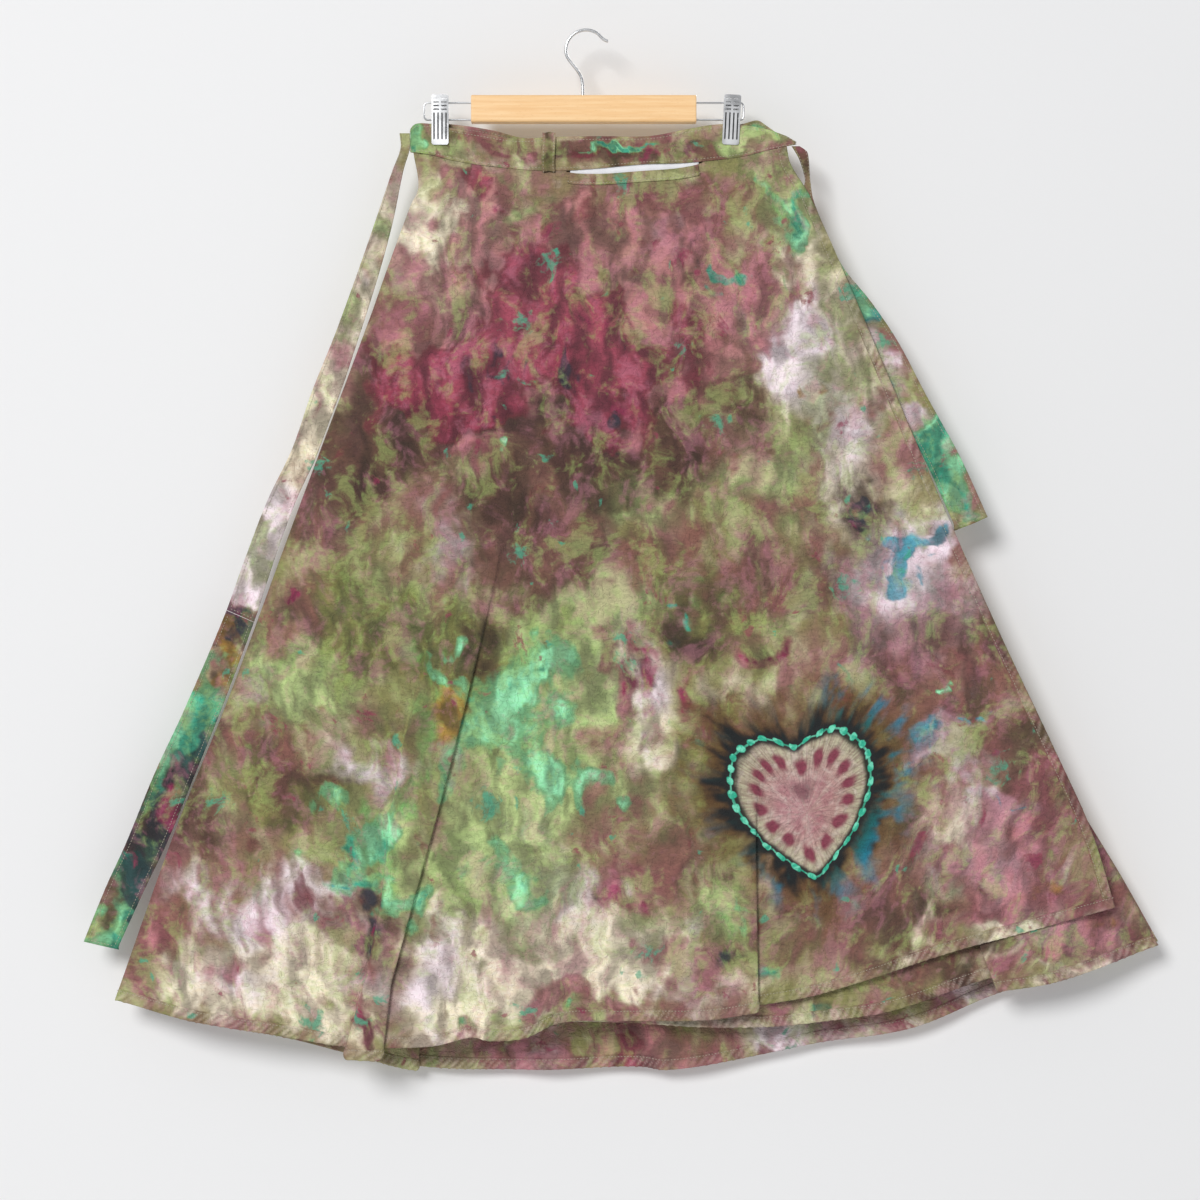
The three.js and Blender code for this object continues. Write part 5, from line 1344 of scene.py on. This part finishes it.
# ---- Ties ----------------------------------------------------------------------------------------
TIE_WALL = 1.0
TIE_HEM = 1.7
TIE_ACROSS = np.array([-1, -0.985, -0.95, -0.87, -0.78, -0.74, -0.68, -0.5, -0.3, -0.1,
                       0.1, 0.3, 0.5, 0.68, 0.74, 0.78, 0.87, 0.95, 0.985, 1])
TIE_NOISE = Noise(59)


def tie_grid(rows, start, end, start_slant, end_slant, depth, clear_of=None, seed=0):
    """A strap: rows from its start down to its end, columns across it, with soft twists and drag lines."""
    left, right = curve_through(rows, 1), curve_through(rows, 2)
    count = round((end - start) / 2.6 * FINE)
    share = np.linspace(0, 1, count)[:, None]
    drop = mix(start, end, share) + TIE_ACROSS * mix(start_slant, end_slant, share)
    inner = right(drop)
    if clear_of:
        inner = np.minimum(inner, clear_of(drop))
    x = mix(left(drop), inner, (TIE_ACROSS + 1) / 2)
    ends = np.clip(np.minimum(share, 1 - share) * 8, 0.15, 1)
    curl = 0.5 * TIE_NOISE.layered(x + seed, drop * 0.5 + seed, 24, 3)
    drag = 0.28 * np.sin(2 * np.pi * (drop + 9 * TIE_ACROSS) / 9.5) * (np.abs(TIE_ACROSS) > 0.6)
    y = depth(drop) + (curl + drag) * ends
    return np.stack([x, y, drop], axis=-1)


def tie_half(grid):
    """Half the thickness of a strap: doubled where its long edges are turned in, rounded at the edges."""
    away = 1 - np.abs(TIE_ACROSS)
    doubled = smooth(np.abs(TIE_ACROSS), 0.74, 0.79)
    rim = rounded(away, 0.05, 0.15)
    rows = np.arange(grid.shape[0])
    end = rounded(np.minimum(rows, rows[::-1]), 1, 0.35)[:, None]
    return mix(TIE_WALL, TIE_HEM, doubled) / 2 * rim * end


def left_tie_depth(drop):
    share = np.clip((drop - float(seam_drop(BAND.left))) / 850, 0, 1)
    return left_meeting(share) + 2 * np.sin(drop / 60) * smooth(drop, 150, 400)


def right_tie_depth(drop):
    share = np.clip((drop - 117) / 800, 0, 1)
    return (front_depth(share) + underlap_depth(share)) / 2


def beside_the_seam(drop):
    return left_side(drop) - TIE_CLEARANCE


upper_tie_grid = tie_grid(LEFT_TIE, LEFT_TIE[0][0], TIE_JOIN, 0, 6, left_tie_depth, beside_the_seam, 7)
lower_tie_grid = tie_grid(LEFT_TIE, TIE_JOIN + 0.4, LEFT_TIE[-1][0], 6, 4, left_tie_depth, beside_the_seam,
                          19)
right_tie_grid = tie_grid(RIGHT_TIE, RIGHT_TIE[0][0], RIGHT_TIE[-1][0], 0, -7, right_tie_depth, None, 31)
upper_tie = shell("tie_left_upper_cloth", upper_tie_grid, tie_half(upper_tie_grid))
lower_tie = shell("tie_left_lower_cloth", lower_tie_grid, tie_half(lower_tie_grid))
right_tie = shell("tie_right_cloth", right_tie_grid, tie_half(right_tie_grid))
for cloth, splashes, node in ((upper_tie, LEFT_TIE_SPLASHES, "tie_left_upper"),
                              (lower_tie, LEFT_TIE_SPLASHES, "tie_left_lower"),
                              (right_tie, RIGHT_TIE_SPLASHES, "tie_right")):
    lay_dyes(cloth, splashes)
    finish_piece(cloth, nodes=[node])


# ---- Rows of stitches ------------------------------------------------------------------------------
def faces_of(line, half):
    """A line on each face of a wall that stands across y."""
    return [line - np.array([0, half, 0]), line + np.array([0, half, 0])]


for hem_seed, (name, lines) in enumerate(HEM_STITCHES.items(), 11):
    sew(name + "_stitches", lines, hem_seed)
for name, grid in (("front", band_front_grid), ("underlap", band_underlap_grid), ("back", band_back_grid)):
    half = band_half(grid)
    lines = [line for row in (3, 12) for line in faces_of(grid[row], half[row, 0])]
    sew(f"waistband_{name}_stitches", lines, 31)
loop_lines = [loop_grid[:, column] - np.array([0, LOOP.wall / 2, 0]) for column in (2, 8)]
sew("belt_loop_stitches", loop_lines)
sew("slit_welt_stitches", [welt_grid[9] - np.array([0, WELT_HALF, 0])])
for name, grid in (("left_upper", upper_tie_grid), ("left_lower", lower_tie_grid), ("right", right_tie_grid)):
    lines = [line for column in (4, 15) for line in faces_of(grid[2:-2, column], TIE_HEM / 2)]
    lines += faces_of(grid[-2, 2:-2], TIE_WALL / 2)
    sew(f"tie_{name}_stitches", lines, 43)


stay_grid()


# ---- Hanger --------------------------------------------------------------------------------------
BAR = namedtuple("Bar", "left right top height depth edge")(-115, 110.5, 64.5, 27.5, 16, 3)
HOOK = namedtuple("Hook", "wire radius shank_x into_bar")(3.2, 20.2, -3.3, 18)
HOOK_TIP = [(22.2, 9.9), (17.7, 7.9)]
HOOK_NECK = [(-7.8, 40.6), (-4.6, 47), (-3.3, 56)]
HOOK_ARC = (58, 215, 20)
WIRE = namedtuple("Wire", "width corner top bottom left right in_bar")(2, 3.5, 71.6, 88.6, -162.3, 158, 11)
CLIP = namedtuple("Clip", "width height plate corner top")(17, 50.3, 1, 2.4, 64)
CLIP_PLACES = {"left": (-146.1, 0), "right": (147, 2.7)}
CLIP_SLOTS = {"columns": (-3.9, 3.9), "rows": (4, 7.6, 11.2, 14.8), "width": 5.8, "height": 1.6}
CLIP_GROOVES = {"columns": (-6, -2, 2, 6), "from": 18, "to": 45, "width": 1.5, "depth": 0.4}
CLIP_INNER = LAYER_GAP + 1 + 0.3
EAR = namedtuple("Ear", "wall before behind top bottom")(0.8, 0.5, 0.3, 2.5, 26.8)
SPRING = namedtuple("Spring", "turns steps radius wire length drop")(8, 14, 2.7, 0.75, 12.4, 16)


def smooth_path(points, count):
    """Points along a centripetal curve through a few hand-placed ones."""
    points = np.array(points, float)
    padded = np.vstack([2 * points[0] - points[1], points, 2 * points[-1] - points[-2]])
    out = []
    for k in range(1, len(padded) - 2):
        p = padded[k - 1:k + 3]
        knots = np.concatenate([[0], np.cumsum(np.sqrt(np.linalg.norm(np.diff(p, axis=0), axis=1)))])
        for t in np.linspace(knots[1], knots[2], count, endpoint=False):
            level = [p[j] + (p[j + 1] - p[j]) * (t - knots[j]) / (knots[j + 1] - knots[j]) for j in range(3)]
            level = [level[j] + (level[j + 1] - level[j]) * (t - knots[j]) / (knots[j + 2] - knots[j])
                     for j in range(2)]
            out.append(level[0] + (level[1] - level[0]) * (t - knots[1]) / (knots[2] - knots[1]))
    return out + [points[-1]]


def hook_points():
    points = [(x * MM, 0, -drop * MM) for x, drop in HOOK_TIP]
    centre = HOOK.radius - HOOK.wire / 2
    for angle in range(*HOOK_ARC):
        a = math.radians(angle)
        points.append((HOOK.radius * math.cos(a) * MM, 0, (HOOK.radius * math.sin(a) - centre) * MM))
    points += [(x * MM, 0, -drop * MM) for x, drop in HOOK_NECK]
    return points + [(HOOK.shank_x * MM, 0, -drop * MM) for drop in (BAR.top, BAR.top + HOOK.into_bar)]


def wire_points(bar_end, loop_end):
    way = math.copysign(1, loop_end - bar_end)
    inside, corner_x = bar_end - way * WIRE.in_bar, loop_end - way * WIRE.corner
    points = [(inside, WIRE.top), (bar_end, WIRE.top), (corner_x - way * 4, WIRE.top)]
    for start, drop in ((90, WIRE.top + WIRE.corner), (0, WIRE.bottom - WIRE.corner)):
        for angle in np.linspace(start, start - 90, 7):
            a = math.radians(angle)
            points.append((corner_x + way * WIRE.corner * math.cos(a), drop - WIRE.corner * math.sin(a)))
    points += [(corner_x - way * 4, WIRE.bottom), (bar_end, WIRE.bottom), (inside, WIRE.bottom)]
    return [(x * MM, 0, -drop * MM) for x, drop in points]


def bevelled(obj, width, segments=3, angle=35):
    """Rounds an object's sharp edges by a width in metres."""
    modifier = obj.modifiers.new("rounded_edges", "BEVEL")
    modifier.width, modifier.segments, modifier.limit_method = width, segments, "ANGLE"
    modifier.angle_limit = math.radians(angle)
    modifier.harden_normals = True
    return obj


def box_points(low, high):
    corners = [(x, y, z) for x in (low[0], high[0]) for y in (low[1], high[1]) for z in (low[2], high[2])]
    faces = [(0, 1, 3, 2), (4, 6, 7, 5), (0, 4, 5, 1), (2, 3, 7, 6), (0, 2, 6, 4), (1, 5, 7, 3)]
    return corners, faces


def rounded_outline(width, height, corner, steps=8):
    """A rounded rectangle's points, counter-clockwise, about its middle."""
    points = []
    for quarter, (sx, sy) in enumerate(((1, 1), (-1, 1), (-1, -1), (1, -1))):
        for angle in np.linspace(quarter * 90, quarter * 90 + 90, steps + 1):
            a = math.radians(angle)
            points.append((sx * (width / 2 - corner) + corner * math.cos(a),
                           sy * (height / 2 - corner) + corner * math.sin(a)))
    return points


def prism(name, outline, low, high):
    """An outline in x and z drawn out in y from low to high."""
    count = len(outline)
    vertices = [(x, low, z) for x, z in outline] + [(x, high, z) for x, z in outline]
    faces = [tuple(range(count)), tuple(range(2 * count - 1, count - 1, -1))]
    faces += [(k, k + count, (k + 1) % count + count, (k + 1) % count) for k in range(count)]
    return face_out(new_mesh(name, vertices, faces, False))


def cut_or_join(obj, other, operation):
    modifier = obj.modifiers.new("boolean", "BOOLEAN")
    modifier.object, modifier.operation, modifier.solver = other, operation, "EXACT"
    bake(obj)
    bpy.data.objects.remove(other)
    return obj


def make_bar():
    outline = rounded_outline(BAR.depth * MM, BAR.height * MM, BAR.edge * MM)
    bar = prism("hanger_bar_wood", outline, BAR.left * MM, BAR.right * MM)
    turned = np.array([[0, 1, 0], [1, 0, 0], [0, 0, 1]])
    middle = -(BAR.top + BAR.height / 2) * MM
    for vertex in bar.data.vertices:
        vertex.co = turned @ np.array(vertex.co) + np.array([0, 0, middle])
    return bake(bevelled(face_out(bar), 0.0011, 4, 50))


PAINTED_SHADE_FACES = {}


def pressed_jaw(name, side):
    """One jaw of a clip: a pressed plate with two columns of slots, four grooves and, in front, two ears."""
    inner, outer = side * CLIP_INNER * MM, side * (CLIP_INNER + CLIP.plate) * MM
    low, high = min(inner, outer), max(inner, outer)
    jaw = prism(name, rounded_outline(CLIP.width * MM, CLIP.height * MM, CLIP.corner * MM), low, high)
    for vertex in jaw.data.vertices:
        vertex.co.z -= CLIP.height / 2 * MM
    if side < 0:
        for edge in (-1, 1):
            x = sorted((edge * (CLIP.width / 2) * MM, edge * (CLIP.width / 2 - EAR.wall) * MM))
            corners, faces = box_points((x[0], -CLIP_INNER * MM - EAR.before * MM, -EAR.bottom * MM),
                                        (x[1], CLIP_INNER * MM - EAR.behind * MM, -EAR.top * MM))
            cut_or_join(jaw, face_out(new_mesh("ear", corners, faces, False)), "UNION")
    slots_x, slots_z = CLIP_SLOTS["width"] / 2 * MM, CLIP_SLOTS["height"] / 2 * MM
    for x in CLIP_SLOTS["columns"]:
        for drop in CLIP_SLOTS["rows"]:
            outline = rounded_outline(2 * slots_x, 2 * slots_z, slots_z * 0.98, 5)
            outline = [(px + x * MM, pz - drop * MM) for px, pz in outline]
            cut_or_join(jaw, prism("slot", outline, low - 0.001, high + 0.001), "DIFFERENCE")
    length = (CLIP_GROOVES["to"] - CLIP_GROOVES["from"]) * MM
    middle = (CLIP_GROOVES["to"] + CLIP_GROOVES["from"]) / 2 * MM
    face = outer - side * CLIP_GROOVES["depth"] * MM
    for x in CLIP_GROOVES["columns"]:
        outline = rounded_outline(CLIP_GROOVES["width"] * MM, length, 0.7 * MM, 5)
        outline = [(px + x * MM, pz - middle) for px, pz in outline]
        cutter = prism("groove", outline, *sorted((face, face + side * 0.002)))
        cut_or_join(jaw, cutter, "DIFFERENCE")
    jaw = bake(bevelled(jaw, 0.00022, 2))
    # The faces inside the slots and down in the grooves, which take the darker steel as painted shade.
    PAINTED_SHADE_FACES[name] = []
    for polygon in jaw.data.polygons:
        x, y, z = (v / MM for v in polygon.center)
        in_slot = any(abs(x - sx) < CLIP_SLOTS["width"] / 2 and abs(z + sz) < CLIP_SLOTS["height"] / 2
                      for sx in CLIP_SLOTS["columns"] for sz in CLIP_SLOTS["rows"])
        in_groove = -CLIP_GROOVES["to"] < z < -CLIP_GROOVES["from"] and min(
            abs(x - gx) for gx in CLIP_GROOVES["columns"]) < CLIP_GROOVES["width"] / 2
        deep = side * y < CLIP_INNER + CLIP.plate - 0.08
        if in_slot or (in_groove and deep and side * y > CLIP_INNER + 0.1):
            PAINTED_SHADE_FACES[name].append(polygon.index)
    return jaw


def tilt_clip(obj, x, tilt):
    """Hangs a clip's piece at its place on the wires, turned a little about the level axis to the front."""
    a = math.radians(tilt)
    for vertex in obj.data.vertices:
        px, pz = vertex.co.x, vertex.co.z
        vertex.co.x = px * math.cos(a) + pz * math.sin(a) + x * MM
        vertex.co.z = -px * math.sin(a) + pz * math.cos(a) - CLIP.top * MM
    return obj


def spring_piece(name):
    """A wound spring between the jaws, its coils side by side."""
    points, count = [], SPRING.turns * SPRING.steps
    for k in range(count + 1):
        angle = 2 * math.pi * k / SPRING.steps
        points.append(((k / count - 0.5) * SPRING.length * MM, SPRING.radius * MM * math.cos(angle),
                       SPRING.radius * MM * math.sin(angle) - SPRING.drop * MM))
    return tube(name, points, SPRING.wire * MM, 8)


finish_piece(make_bar(), BEECH, ["hanger_bar"])
# Each piece of metal with the node that it stands for.
metal = [(tube("hanger_hook_wire", smooth_path(hook_points(), 8), HOOK.wire / 2 * MM, 24), "hanger_hook")]
for side_name, bar_end, loop_end in (("left", BAR.left, WIRE.left), ("right", BAR.right, WIRE.right)):
    node = f"wire_loop_{side_name}"
    metal.append((tube(node + "_wire", wire_points(bar_end, loop_end), WIRE.width / 2 * MM, 20), node))
for side_name, (clip_x, clip_tilt) in CLIP_PLACES.items():
    for jaw_name, jaw_side in (("front", -1), ("back", 1)):
        node = f"clip_{side_name}_{jaw_name}_jaw"
        metal.append((tilt_clip(pressed_jaw(f"{node}_pressing", jaw_side), clip_x, clip_tilt), node))
    spring = tilt_clip(spring_piece(f"clip_{side_name}_spring_wire"), clip_x, clip_tilt)
    metal.append((spring, f"clip_{side_name}_spring"))
for obj, node in metal:
    finish_piece(obj, STEEL, [node])
    # Painted shade: the faces inside the slots and grooves take the darker steel.
    if obj.name in PAINTED_SHADE_FACES:
        obj.data.materials.append(PAINTED_SHADE_STEEL)
        for face in PAINTED_SHADE_FACES[obj.name]:
            obj.data.polygons[face].material_index = 1


# ---- Studio --------------------------------------------------------------------------------------
def plain_surface(name, colour_hex, one_sided=False):
    """Matt studio card; a one-sided one shows its front alone and never hides the skirt from behind."""
    t = Tree(name)
    shader = t.surface(linear(colour_hex), 0.95, Specular_IOR_Level=0.1)
    if one_sided:
        behind = t.add("ShaderNodeNewGeometry").outputs["Backfacing"]
        clear = t.add("ShaderNodeBsdfTransparent").outputs[0]
        shader = t.add("ShaderNodeMixShader", {0: behind, 1: shader, 2: clear}).outputs[0]
    return t.finish(shader)


FLOOR_Z = -2.2
WALL_Y = 0.046
SQUARE = [(0, 1, 2, 3)]
card = new_mesh("studio_wall", [(-3, WALL_Y, FLOOR_Z), (3, WALL_Y, FLOOR_Z), (3, WALL_Y, 2), (-3, WALL_Y, 2)],
                SQUARE, False)
card.data.materials.append(plain_surface("pale_card", "#e9e9e9", True))
floor = new_mesh("studio_floor", [(-3, -4, FLOOR_Z), (3, -4, FLOOR_Z), (3, 3, FLOOR_Z), (-3, 3, FLOOR_Z)],
                 SQUARE, False)
floor.data.materials.append(plain_surface("pale_floor", "#e4e4e4"))
# The card throws no light back and no shadow, so light from behind reaches the back of the skirt.
card.visible_diffuse = card.visible_shadow = False

world = bpy.data.worlds.new("studio")
bpy.context.scene.world = world
world.use_nodes = True
world.node_tree.nodes["Background"].inputs["Color"].default_value = linear("#f4f5f8")
world.node_tree.nodes["Background"].inputs["Strength"].default_value = 0.42


def soft_light(name, location, target, size, power):
    light = bpy.data.lights.new(name, "AREA")
    light.shape, light.size, light.energy = "DISK", size, power
    obj = new_object(name, light)
    obj.location = location
    way = Vector(target) - Vector(location)
    obj.rotation_euler = way.to_track_quat("-Z", "Y").to_euler()
    return obj


soft_light("key_light", (-3.0, -7.0, 2.9), (0.3, 0, -0.8), 3.0, 470)
soft_light("back_light", (3.0, 5.0, 2.6), (0, 0, -0.6), 3.0, 330)
bpy.context.scene.view_settings.view_transform = "Standard"

# A long lens, level with the skirt's middle and square on to it.
camera = new_object("camera", bpy.data.cameras.new("camera"))
camera.data.lens, camera.data.sensor_width = 85, 36
camera.location = (0.014, -2.841, -0.570)
camera.rotation_euler = (math.radians(90), 0, 0)
bpy.context.scene.camera = camera
